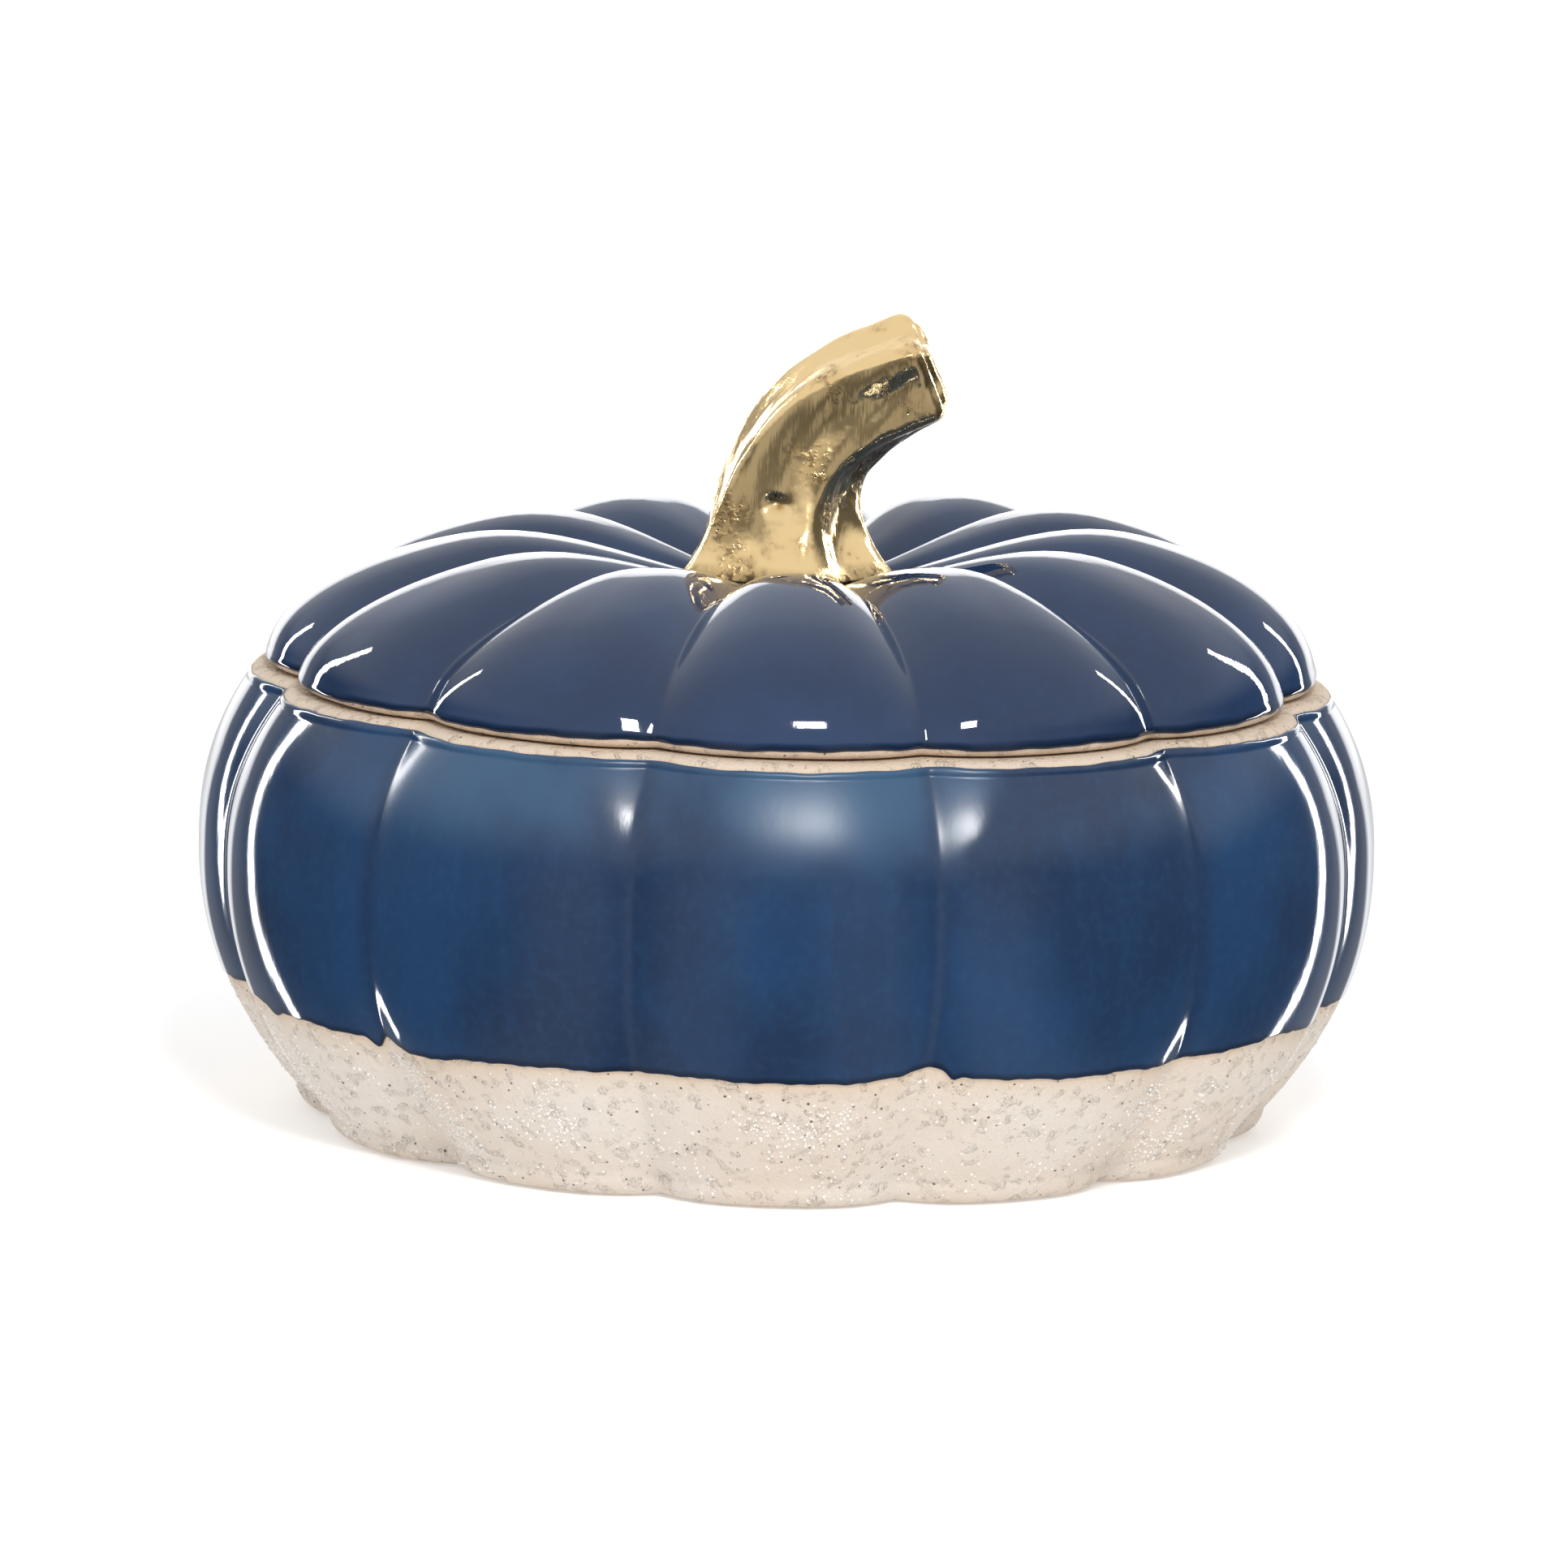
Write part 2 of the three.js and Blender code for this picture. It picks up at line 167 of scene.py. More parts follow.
# %% Make the shared pattern groups
def make_cloudy():
    tree, given = new_tree("cloudy", "ShaderNodeTree", {
        "Vector": ("vector", None), "Cloud size": ("value", 0.04), "Run size": ("value", 0.004)},
        {"Cloud": "value", "Runs": "value"})
    per_size = divided(1.0, given["Cloud size"])
    cloud = wire(tree, "ShaderNodeTexNoise", given["Vector"], per_size, 3.0, 0.55)[0]
    stretched = wire(tree, "ShaderNodeVectorMath", given["Vector"], (1.0, 1.0, 0.12), operation="MULTIPLY")[0]
    per_run = divided(1.0, given["Run size"])
    runs = wire(tree, "ShaderNodeTexNoise", stretched, per_run, 3.0, 0.6)[0]
    finish_tree(tree, Cloud=cloud, Runs=runs)
    return tree


def make_pits():
    tree, given = new_tree("pits", "ShaderNodeTree", {
        "Vector": ("vector", None), "Spacing": ("value", 0.004), "Share": ("value", 0.3),
        "Size": ("value", 0.1)}, {"Mask": "value"})
    per_spacing = divided(1.0, given["Spacing"])
    distance, colour = wire(tree, "ShaderNodeTexVoronoi", given["Vector"], per_spacing)[:2]
    draw = wire(tree, "ShaderNodeSeparateColor", colour)
    kept = calc("LESS_THAN", draw[0], given["Share"])
    radius = times(given["Size"], plus(draw[1], 0.35))
    core = times(radius, 0.55)
    inside = wire(tree, "ShaderNodeMapRange", distance, radius, core, 0.0, 1.0)[0]
    finish_tree(tree, Mask=times(inside, kept))
    return tree


def make_fine_grain():
    tree, given = new_tree("fine_grain", "ShaderNodeTree", {
        "Vector": ("vector", None), "Grain size": ("value", 0.0006)}, {"Height": "value"})
    per_grain = divided(1.0, given["Grain size"])
    fine = wire(tree, "ShaderNodeTexNoise", given["Vector"], per_grain, 4.0, 0.6)[0]
    per_clump = divided(per_grain, 6.0)
    coarse = wire(tree, "ShaderNodeTexNoise", given["Vector"], per_clump, 2.0, 0.5)[0]
    finish_tree(tree, Height=plus(fine, coarse))
    return tree


CLOUDY, PITS, FINE_GRAIN = make_cloudy(), make_pits(), make_fine_grain()


def pattern(group, here, *settings):
    """Adds a pattern group; the settings go to its inputs in order, all of them sizes in metres or shares."""
    return wire(here.id_data, "ShaderNodeGroup", here, *settings, node_tree=group)


print("pattern groups:", [g.name for g in (CLOUDY, PITS, FINE_GRAIN)])

# %% [markdown]
# ## Helpers for materials
# Each finish is a Principled shader whose colour, roughness and normal come from nodes. A number that is
# the same all over, such as the metal's Metallic of 1, is set on the shader's own socket.

# %% Start a material
def start_material(name):
    material = bpy.data.materials.new(name)
    material.use_nodes = True
    tree = material.node_tree
    shader = next(n for n in tree.nodes if n.type == "BSDF_PRINCIPLED")
    here = wire(tree, "ShaderNodeTexCoord")[3]
    return material, tree, shader, here


def mix(factor, first, second):
    return wire(factor.id_data, "ShaderNodeMix", factor, first, second, data_type="RGBA")[0]


def ramp(value, low, high):
    """0 below low, 1 above high, and smooth between."""
    return wire(value.id_data, "ShaderNodeMapRange", value, low, high, 0.0, 1.0,
                interpolation_type="SMOOTHSTEP")[0]


def attribute(tree, name):
    return wire(tree, "ShaderNodeAttribute", attribute_name=name)[2]


def drive(shader, label, source):
    shader.id_data.links.new(source, shader.inputs[label])


def bump(shader, height, distance, strength):
    drive(shader, "Normal", wire(shader.id_data, "ShaderNodeBump", strength, distance, None, height)[0])


# %% [markdown]
# ## The blue glaze
# Cobalt glaze is glass over clay. Where it lies thin, in cloudy patches high on the front of the bowl, the
# clay shows through as a paler, milkier blue with less shine; that paler blue lies only on the side facing
# the front lamp, so it is also a painted sheen of that lamp's soft reflection. Where it pools, in the grooves
# and in the bead along its lower edge, it is nearly black. The meshes carry that as attributes: `rib` is 0
# on a crest and 1 in a groove, and `edge` is the distance in millimetres to the coat's nearest edge. The
# bowl and the lid share one maker.

# %% Make the blue glazes
def make_glaze(name, deep, body, thin_and_sheen_blue, thin_and_sheen_top, roughness):
    material, tree, shader, here = start_material(name)
    cloud, runs = pattern(CLOUDY, here, 0.045, 0.0035)
    rib, edge = attribute(tree, "rib"), attribute(tree, "edge")
    _, front, height = wire(tree, "ShaderNodeSeparateXYZ", here)
    blotch = ramp(cloud, 0.38, 0.68)
    streak = times(ramp(runs, 0.45, 0.75), 0.2)
    colour = mix(plus(times(blotch, 0.75), streak), deep, body)
    top = ramp(height, *thin_and_sheen_top)
    facing = ramp(front, -0.050, -0.085)
    # paler blue on the front top: thin glaze, and a painted sheen where the front lamp's soft reflection
    # falls
    thin_and_sheen_share = times(times(top, ramp(cloud, 0.42, 0.62)), facing)
    colour = mix(times(thin_and_sheen_share, 0.8), colour, thin_and_sheen_blue)
    pooled = times(ramp(rib, 0.86, 1.0), 0.55)
    colour = mix(pooled, colour, deep)
    bead = minus(1.0, ramp(edge, 0.5, 1.6))
    mottle = pattern(CLOUDY, here, 0.0016, 0.0009)
    fleck = times(ramp(mottle[0], 0.4, 0.8), 0.13)
    colour = mix(fleck, colour, thin_and_sheen_blue)
    dark = tuple(0.35 * c for c in deep[:3]) + (1.0,)
    colour = mix(times(bead, 0.8), colour, dark)
    drive(shader, "Base Color", colour)
    matt = times(ramp(height, 0.046, 0.070), facing)
    matt = times(matt, ramp(cloud, 0.35, 0.58))
    dull = times_plus(matt, roughness[1] - roughness[0], roughness[0])
    drive(shader, "Roughness", dull)
    pinholes = pattern(PITS, here, 0.0065, 0.12, 0.045)[0]
    wavy = times_plus(runs, 0.35, times(cloud, 0.5))
    bump(shader, minus(wavy, times(pinholes, 0.8)), 0.00012, 0.5)
    shader.inputs["IOR"].default_value = 1.52
    return material


BOWL_GLAZE = make_glaze("cobalt_glaze", (0.013, 0.031, 0.076, 1), (0.015, 0.053, 0.138, 1),
                        (0.036, 0.100, 0.190, 1), (0.056, 0.070), (0.07, 0.34))
LID_GLAZE = make_glaze("navy_glaze", (0.010, 0.027, 0.074, 1), (0.014, 0.041, 0.110, 1),
                       (0.020, 0.052, 0.128, 1), (0.090, 0.110), (0.03, 0.05))
print("glazes:", BOWL_GLAZE.name, LID_GLAZE.name)

# %% [markdown]
# ## Bare stoneware, its grit and the gold
# The unglazed clay is a warm cream with a dry, sandy face and scattered brown iron specks. The white grit
# is a separate mesh, so its material only varies its white. Gold lustre is a film of real metal: Metallic
# is 1, and what makes it look real is that it isn't perfect, with small pits and dull brown patches.

# %% Make the clay, grit and gold
def make_clay():
    material, tree, shader, here = start_material("bare_stoneware")
    cloud, runs = pattern(CLOUDY, here, 0.025, 0.006)
    cream, peach = (0.79, 0.72, 0.65, 1), (0.76, 0.66, 0.565, 1)
    colour = mix(ramp(cloud, 0.35, 0.7), cream, peach)
    colour = mix(times(ramp(runs, 0.5, 0.8), 0.3), colour, (0.82, 0.79, 0.75, 1))
    toast = attribute(tree, "toast")
    # the same attribute also paints a darker, warmer band along the bowl's bottom edge
    colour = mix(times(toast, 0.75), colour, (0.70, 0.53, 0.37, 1))
    specks = pattern(PITS, here, 0.0018, 0.9, 0.14)[0]
    faint = pattern(PITS, here, 0.0011, 0.8, 0.13)[0]
    colour = mix(times(faint, 0.35), colour, (0.42, 0.30, 0.20, 1))
    colour = mix(times(specks, 0.9), colour, (0.075, 0.045, 0.028, 1))
    drive(shader, "Base Color", colour)
    grain = pattern(FINE_GRAIN, here, 0.0006)[0]
    drive(shader, "Roughness", times_plus(grain, 0.08, 0.72))
    lumps = ramp(pattern(CLOUDY, here, 0.0024, 0.0012)[0], 0.52, 0.78)
    bump(shader, times_plus(lumps, 2.2, grain), 0.00028, 1.0)
    return material


def make_grit():
    material, tree, shader, here = start_material("white_grit")
    cloud, runs = pattern(CLOUDY, here, 0.002, 0.001)
    drive(shader, "Base Color", mix(cloud, (0.84, 0.80, 0.75, 1), (0.97, 0.95, 0.92, 1)))
    drive(shader, "Roughness", times_plus(runs, 0.3, 0.45))
    return material


def make_gold():
    material, tree, shader, here = start_material("gold_lustre")
    cloud, runs = pattern(CLOUDY, here, 0.009, 0.0014)
    foot = attribute(tree, "foot")
    bright, deep, brown = (0.97, 0.72, 0.37, 1), (0.86, 0.60, 0.28, 1), (0.075, 0.045, 0.022, 1)
    pits = pattern(PITS, here, 0.0012, 0.9, 0.15)[0]
    # grime patches, raised near the foot, where a darker band is painted
    grime_and_dark_foot = ramp(times_plus(foot, 0.3, cloud), 0.47, 0.66)
    ragged = ramp(pattern(CLOUDY, here, 0.0016, 0.0008)[0], 0.45, 0.62)
    blisters = times(pits, grime_and_dark_foot)
    colour = mix(ramp(cloud, 0.4, 0.75), bright, deep)
    stain = times(times(grime_and_dark_foot, ragged), 0.7)
    # a darker brown band painted along the foot's lower edge, where it meets the lid, and in the pinch
    dark_foot_band = times(foot, times_plus(ragged, 0.45, 0.5))
    stain = larger(stain, dark_foot_band)
    colour = mix(larger(times(blisters, 0.85), stain), colour, brown)
    drive(shader, "Base Color", colour)
    dull = times_plus(stain, 0.45, times_plus(runs, 0.12, 0.05))
    drive(shader, "Roughness", dull)
    rippled = times_plus(cloud, 1.2, times(runs, 0.35))
    rippled = times_plus(times(ragged, grime_and_dark_foot), 0.25, rippled)
    bump(shader, minus(rippled, times(blisters, 0.5)), 0.0004, 0.55)
    shader.inputs["Metallic"].default_value = 1.0
    return material


CLAY, GRIT, GOLD = make_clay(), make_grit(), make_gold()
print("finishes:", CLAY.name, GRIT.name, GOLD.name)

# %% [markdown]
# ## Sizes
# The main sizes come from the boxes of the CAD nodes. The rest, such as the rib's section and the wall's
# thickness, repeat the design's own values, in millimetres.

# %% Read the sizes
def node_box(name):
    return [[v / MM for v in corner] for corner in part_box(name)]


FIT_GAP = 0.3
SEAM = node_box("bowl")[1][2] + FIT_GAP / 2
BODY_RADIUS = node_box("bowl")[1][0]
LID_RADIUS = node_box("lid")[1][0]
RIM_STEP, RIM_LEDGE = 1.3, 10.7
RIM_RADIUS = LID_RADIUS + RIM_STEP
MOUTH_RADIUS = RIM_RADIUS - RIM_LEDGE
FOOT_RADIUS, FOOT_ROUND, FOOT_RING, RECESS_DEPTH = 79.0, 4.0, 17.0, 2.0
WIDEST_HEIGHT, DOME_BASE = 46.5, 0.5
RIBS, RIB_FULLNESS = 12, 2.8
print(f"seam at {SEAM:.1f} mm, bowl radius {BODY_RADIUS:.1f}, lid radius {LID_RADIUS:.1f}")

# %% [markdown]
# ## The ribs, pressed by Geometry Nodes
# Twelve ribs run down the bowl and over the lid, and every wall and coat of glaze has to follow the same
# ones. They could be sculpted, or made by copying one wedge twelve times, but both leave seams. Here each
# wall starts as a plain turned blank, as on a potter's wheel, and one tree presses the ribs in: it moves
# each point from the crest's outline towards the groove's by how far round its rib it is. The blank says
# how far apart the two outlines are in an attribute called `to_groove`, and how thick a coat to raise there
# in one called `coat`.

# %% Build the rib press
def named(tree, name, kind="FLOAT"):
    return wire(tree, "GeometryNodeInputNamedAttribute", name, data_type=kind)[0]


def scaled(direction, length):
    return wire(direction.id_data, "ShaderNodeVectorMath", direction, length, operation="SCALE")[0]


def moved(mesh, offset):
    return wire(mesh.id_data, "GeometryNodeSetPosition", mesh, None, None, offset)[0]


def kept_as(mesh, name, value):
    return wire(mesh.id_data, "GeometryNodeStoreNamedAttribute", mesh, None, name, value,
                data_type="FLOAT", domain="POINT")[0]


def rib_section(given, x, y):
    """How far off its rib's crest a point is, from 0 to 1, with the groove's crease a little rounded."""
    angle = calc("ARCTAN2", x, times(y, -1.0))
    turn = times(divided(angle, 2 * math.pi), given["Ribs"])
    off_crest = times(calc("ABSOLUTE", minus(turn, calc("ROUND", turn))), 2.0)
    to_crease = minus(1.0, off_crest)
    squares = plus(power(to_crease, 2.0), power(given["Crease softness"], 2.0))
    return off_crest, larger(minus(1.0, calc("SQRT", squares)), 0.0)


def make_rib_press():
    tree, given = new_tree("rib_press", "GeometryNodeTree", {
        "Geometry": ("geometry", None), "Ribs": ("count", 12), "Fullness": ("value", 2.3),
        "Crease softness": ("value", 0.05), "Seam": ("value", 0.076), "Crown lean": ("value", 0.0),
        "Lid radius": ("value", 0.09), "Hand wobble": ("value", 0.0003), "Finish": ("material", None)},
        {"Geometry": "geometry"})
    tree.is_modifier = True
    x, y, z = wire(tree, "ShaderNodeSeparateXYZ", wire(tree, "GeometryNodeInputPosition")[0])
    off_crest, softened = rib_section(given, x, y)
    blend = power(softened, given["Fullness"])
    outward = wire(tree, "ShaderNodeVectorMath", wire(tree, "ShaderNodeCombineXYZ", x, y, 0.0)[0],
                   operation="NORMALIZE")[0]
    inward, _, down = wire(tree, "ShaderNodeSeparateXYZ", named(tree, "to_groove", "FLOAT_VECTOR"))
    sideways = scaled(outward, times(inward, blend))
    drop = wire(tree, "ShaderNodeCombineXYZ", 0.0, 0.0, times(down, blend))[0]
    mesh = kept_as(given["Geometry"], "rib", off_crest)
    mesh = moved(mesh, wire(tree, "ShaderNodeVectorMath", sideways, drop, operation="ADD")[0])
    above = larger(minus(z, given["Seam"]), 0.0)
    lean = times(times(above, given["Crown lean"]), divided(x, given["Lid radius"]))
    mesh = moved(mesh, wire(tree, "ShaderNodeCombineXYZ", 0.0, 0.0, lean)[0])
    waves = wire(tree, "ShaderNodeTexNoise", None, 22.0, 1.0, 0.5)[0]
    wobble = times(minus(waves, 0.5), given["Hand wobble"])
    mesh = moved(mesh, scaled(outward, wobble))
    mesh = moved(mesh, scaled(wire(tree, "GeometryNodeInputNormal")[0], named(tree, "coat")))
    mesh = wire(tree, "GeometryNodeSetShadeSmooth", mesh)[0]
    mesh = wire(tree, "GeometryNodeRealizeInstances", mesh)[0]
    finish_tree(tree, Geometry=wire(tree, "GeometryNodeSetMaterial", mesh, None, given["Finish"])[0])
    return tree


RIB_PRESS = make_rib_press()
print("rib press inputs:", [s.name for s in RIB_PRESS.interface.items_tree if s.in_out == "INPUT"])

# %% [markdown]
# ## Turned blanks
# A blank is a grid of rows along the outline and columns round the axis. `crest` and `groove` hold the
# outline's (radius, height) on a rib and in a groove, either once for all columns or separately for each,
# which is how a coat of glaze gets a wavy edge. A row at radius 0 closes to a single point. Rows that run
# up the outside and down the inside make all faces point out of the clay.

# %% Turn a blank and press it
def turned_blank(name, crest, groove, columns, closed=False, coat=0.0, **extra):
    crest, groove = np.asarray(crest, float), np.asarray(groove, float)
    rows = crest.shape[-2]
    crest = np.broadcast_to(crest, (columns, rows, 2))
    groove = np.broadcast_to(groove, (columns, rows, 2))
    angle = np.arange(columns) * 2 * math.pi / columns
    is_pole = crest[:, :, 0].max(0) < 1e-6
    radius, height = crest[..., 0], crest[..., 1]
    points = np.stack([radius * np.sin(angle)[:, None], -radius * np.cos(angle)[:, None], height], -1)
    number = np.zeros((columns, rows), int)
    keep, count = [], 0
    for row in range(rows):
        width = 1 if is_pole[row] else columns
        number[:, row] = count + (np.arange(columns) % width)
        keep += [(column, row) for column in range(width)]
        count += width
    keep = np.array(keep)
    faces = []
    for row in range(rows if closed else rows - 1):
        above = (row + 1) % rows
        if is_pole[row] and is_pole[above]:
            continue
        here, there = number[:, row], number[:, above]
        corners = np.stack([here, np.roll(here, -1), np.roll(there, -1), there], 1).tolist()
        if is_pole[row]:
            corners = [c[1:] for c in corners]
        elif is_pole[above]:
            corners = [c[:3] for c in corners]
        faces += corners
    mesh = bpy.data.meshes.new(name)
    mesh.from_pydata((points[keep[:, 0], keep[:, 1]] * MM).tolist(), [], faces)
    gap = np.zeros((columns, rows, 3))
    gap[..., 0], gap[..., 2] = (groove - crest)[..., 0], (groove - crest)[..., 1]
    store(mesh, "to_groove", gap[keep[:, 0], keep[:, 1]] * MM, "FLOAT_VECTOR", "vector")
    for label, values in {"coat": np.asarray(coat) * MM, **extra}.items():
        spread = np.broadcast_to(values, (columns, rows))
        store(mesh, label, spread[keep[:, 0], keep[:, 1]], "FLOAT", "value")
    return mesh


def store(mesh, name, values, kind, field):
    layer = mesh.attributes.new(name, kind, "POINT")
    layer.data.foreach_set(field, np.ascontiguousarray(values, np.float32).ravel())


def run_tree(name, mesh, tree, values):
    """Runs a tree on a mesh as a modifier, and returns the result as a plain mesh object."""
    blank = put_in_scene(name + "_blank", mesh)
    modifier = blank.modifiers.new("tree", "NODES")
    modifier.node_group = tree
    for socket in tree.interface.items_tree:
        if socket.in_out == "INPUT" and socket.name in values:
            modifier[socket.identifier] = values[socket.name]
    scene_graph = bpy.context.evaluated_depsgraph_get()
    made = bpy.data.meshes.new_from_object(blank.evaluated_get(scene_graph), preserve_all_data_layers=True,
                                           depsgraph=scene_graph)
    bpy.data.objects.remove(blank)
    bpy.data.meshes.remove(mesh)
    made.name = name
    return put_in_scene(name, made)


def volume_of(mesh):
    """Positive when the faces of a closed mesh point outwards."""
    mesh.calc_loop_triangles()
    co = np.zeros(len(mesh.vertices) * 3)
    mesh.vertices.foreach_get("co", co)
    corners = np.zeros(len(mesh.loop_triangles) * 3, int)
    mesh.loop_triangles.foreach_get("vertices", corners)
    a, b, c = co.reshape(-1, 3)[corners.reshape(-1, 3)].transpose(1, 0, 2)
    return float((np.cross(a, b) * c).sum() / 6)


CREASE_SOFTNESS, HAND_WOBBLE = 0.035, 0.0004  # as a share of half a rib; in metres


def press(name, mesh, finish, lean=0.0):
    piece = run_tree(name, mesh, RIB_PRESS, {
        "Ribs": RIBS, "Fullness": RIB_FULLNESS, "Crease softness": CREASE_SOFTNESS,
        "Seam": (SEAM + DOME_BASE) * MM, "Crown lean": lean, "Lid radius": LID_RADIUS * MM,
        "Hand wobble": HAND_WOBBLE, "Finish": finish})
    triangles = len(piece.data.loops) - 2 * len(piece.data.polygons)
    print(f"{name}: {triangles} triangles, {volume_of(piece.data) * 1e6:.1f} cm3")
    return piece


# %% [markdown]
# ## The bowl's clay
# The bowl is one closed shell: the underside with its shallow recess, the foot's rounded edge, the bulging
# wall, the bare rim with its rounded shoulder, the round mouth, and the inside down to the floor. Each
# stretch is an arc or a power curve, so a few numbers set it.

# %% Shape the bowl's outline
UPPER_BULGE, LOWER_BULGE = 2.4, 2.2
WAIST_GROOVE, FOOT_GROOVE, RIM_GROOVE = 2.7, 6.5, 5.0
SHOULDER_ROUND = 2.4
BOWL_WALL, FLOOR, FLOOR_CORNER = 5.0, 6.5, 12.0
LIP_DEPTH, LIP_SLOPE = 6.0, 7.0


def away_from_waist(z):
    return np.where(z < WIDEST_HEIGHT, (WIDEST_HEIGHT - z) / WIDEST_HEIGHT,
                    (z - WIDEST_HEIGHT) / (SEAM - WIDEST_HEIGHT))


def crest_radius(z):
    z = np.asarray(z, float)
    low = z < WIDEST_HEIGHT
    end, bulge = np.where(low, FOOT_RADIUS, RIM_RADIUS), np.where(low, LOWER_BULGE, UPPER_BULGE)
    return BODY_RADIUS + (end - BODY_RADIUS) * away_from_waist(z) ** bulge


def groove_radius(z):
    z = np.asarray(z, float)
    end = np.where(z < WIDEST_HEIGHT, FOOT_GROOVE, RIM_GROOVE)
    return crest_radius(z) - (WAIST_GROOVE + (end - WAIST_GROOVE) * away_from_waist(z) ** 2)


def with_shoulder(radius_at, z):
    """The wall's radius with the rounding of the rim's outer edge taken off."""
    start = SEAM - FIT_GAP / 2 - SHOULDER_ROUND
    over = np.clip(z - start, 0, SHOULDER_ROUND)
    return radius_at(np.minimum(z, start)) - SHOULDER_ROUND + np.sqrt(SHOULDER_ROUND ** 2 - over ** 2)


def bend(centre, radius, start, stop, steps):
    """Points on an arc, by angle from +r towards +z, in degrees."""
    turn = np.radians(np.linspace(start, stop, steps))
    return np.stack([centre[0] + radius * np.cos(turn), centre[1] + radius * np.sin(turn)], 1)


def bowl_inside(radius_at):
    lip = SEAM - LIP_DEPTH
    turn = np.linspace(0, math.pi / 2, 10)
    corner_z = FLOOR + FLOOR_CORNER * (1 - np.cos(turn))
    corner = np.stack([radius_at(corner_z) - BOWL_WALL - FLOOR_CORNER * (1 - np.sin(turn)), corner_z], 1)
    wall_z = np.linspace(FLOOR + FLOOR_CORNER, lip - LIP_SLOPE, 22)[1:]
    wall = np.stack([radius_at(wall_z) - BOWL_WALL, wall_z], 1)
    mouth = [(MOUTH_RADIUS + 0.4, lip - 1.2), (MOUTH_RADIUS, lip + 0.4), (MOUTH_RADIUS, SEAM - 1.4)]
    floor = np.stack([np.linspace(0, corner[0, 0] - 1, 14), np.full(14, FLOOR)], 1)
    return np.concatenate([floor, corner, wall, mouth])[::-1]


def bowl_outline(radius_at):
    top = SEAM - FIT_GAP / 2
    recess = FOOT_RADIUS - FOOT_RING
    under = [(0, RECESS_DEPTH), (recess * 0.5, RECESS_DEPTH), (recess - 3, RECESS_DEPTH),
             (recess - 2.1, RECESS_DEPTH - 0.2), (recess - 0.6, 0.5), (recess + 0.2, 0.08), (recess + 1, 0)]
    foot = bend((float(radius_at(FOOT_ROUND)) - FOOT_ROUND, FOOT_ROUND), FOOT_ROUND, -90, 0, 9)
    wall_z = np.linspace(FOOT_ROUND, top - SHOULDER_ROUND, 60)[1:-1]
    wall = np.stack([radius_at(wall_z), wall_z], 1)
    shoulder = float(radius_at(top - SHOULDER_ROUND)) - SHOULDER_ROUND
    rim = bend((shoulder, top - SHOULDER_ROUND), SHOULDER_ROUND, 0, 90, 8)
    mouth_edge = bend((MOUTH_RADIUS + 1, top - 1), 1.0, 90, 165, 4)
    return np.concatenate([under, foot, wall, rim, [(MOUTH_RADIUS + 2.5, top)], mouth_edge,
                           bowl_inside(radius_at)])


bowl_crest, bowl_groove = bowl_outline(crest_radius), bowl_outline(groove_radius)
print("bowl outline:", len(bowl_crest), "rows, radius", bowl_crest[:, 0].max().round(1), "mm")

# %% [markdown]
# ## Where the glaze stops
# The bowl is dipped, so the glaze ends in a line that wanders up and down by a millimetre or two. It climbs
# in each groove, where the foot of the ribs was wiped, and has a few short runs. The line is a sum of
# seeded waves of shorter and shorter length plus those features, so it never repeats and is the same on
# every run.

# %% Draw the glaze lines
def waves(angle, seed, pairs):
    """A sum of waves round the dish: each pair is (how many round the dish, height in mm)."""
    draw = np.random.default_rng(seed)
    total = np.zeros_like(angle)
    for count, height in pairs:
        total += height * np.sin(count * angle + draw.uniform(0, 2 * math.pi))
    return total


def off_crest(angle):
    turn = angle / (2 * math.pi) * RIBS
    return 2 * np.abs(turn - np.round(turn))


GLAZE_LINE, FRONT_DIP, GROOVE_CLIMB, CLIMB_WIDTH = 24.6, 1.0, 0.7, 0.16
BARE_RIM, BARE_LID_EDGE = 1.15, 1.4
# Short runs of glaze: (angle from the front in degrees, width in degrees, how far down in mm).
RUNS = [(-46.2, 0.9, 2.0), (17.5, 0.6, 0.8), (-62, 1.2, 0.9), (72, 1.5, 1.1),
        (118, 0.9, 1.6), (171, 1.4, 1.2), (-105, 1.0, 1.4), (-148, 1.2, 1.0)]


def lower_line(angle):
    line = GLAZE_LINE - FRONT_DIP * np.cos(angle) + waves(angle, 3, [
        (2, 0.4), (5, 0.45), (9, 0.4), (17, 0.3), (31, 0.16), (67, 0.09), (131, 0.06), (197, 0.04)])
    climb = GROOVE_CLIMB + waves(angle, 12, [(2, 0.3), (5, 0.4)])
    line += climb * np.exp(-(((1 - off_crest(angle)) / CLIMB_WIDTH) ** 2))
    for place, width, drop in RUNS:
        apart = (np.degrees(angle) - place + 180) % 360 - 180
        line -= drop * np.exp(-((apart / width) ** 2))
    return line


def upper_line(angle):
    return SEAM - BARE_RIM + waves(angle, 5, [(4, 0.12), (11, 0.12), (37, 0.07), (83, 0.04)])


def lid_line(angle):
    return SEAM + BARE_LID_EDGE + waves(angle, 8, [(3, 0.12), (13, 0.14), (41, 0.08), (89, 0.05)])


around = np.radians(np.arange(0, 360, 5))
print(f"glaze starts {lower_line(around).min():.1f} to {lower_line(around).max():.1f} mm up the bowl")

# %% [markdown]
# ## Press the bowl's clay
# The clay goes through the press with two more attributes. One marks where the clay fires to a warmer
# peach, close to the glaze and at the seam, and also a darker, warmer band painted along the bottom edge
# next to the floor; `bare` marks where grit may show. The rim is the narrowest bare strip.

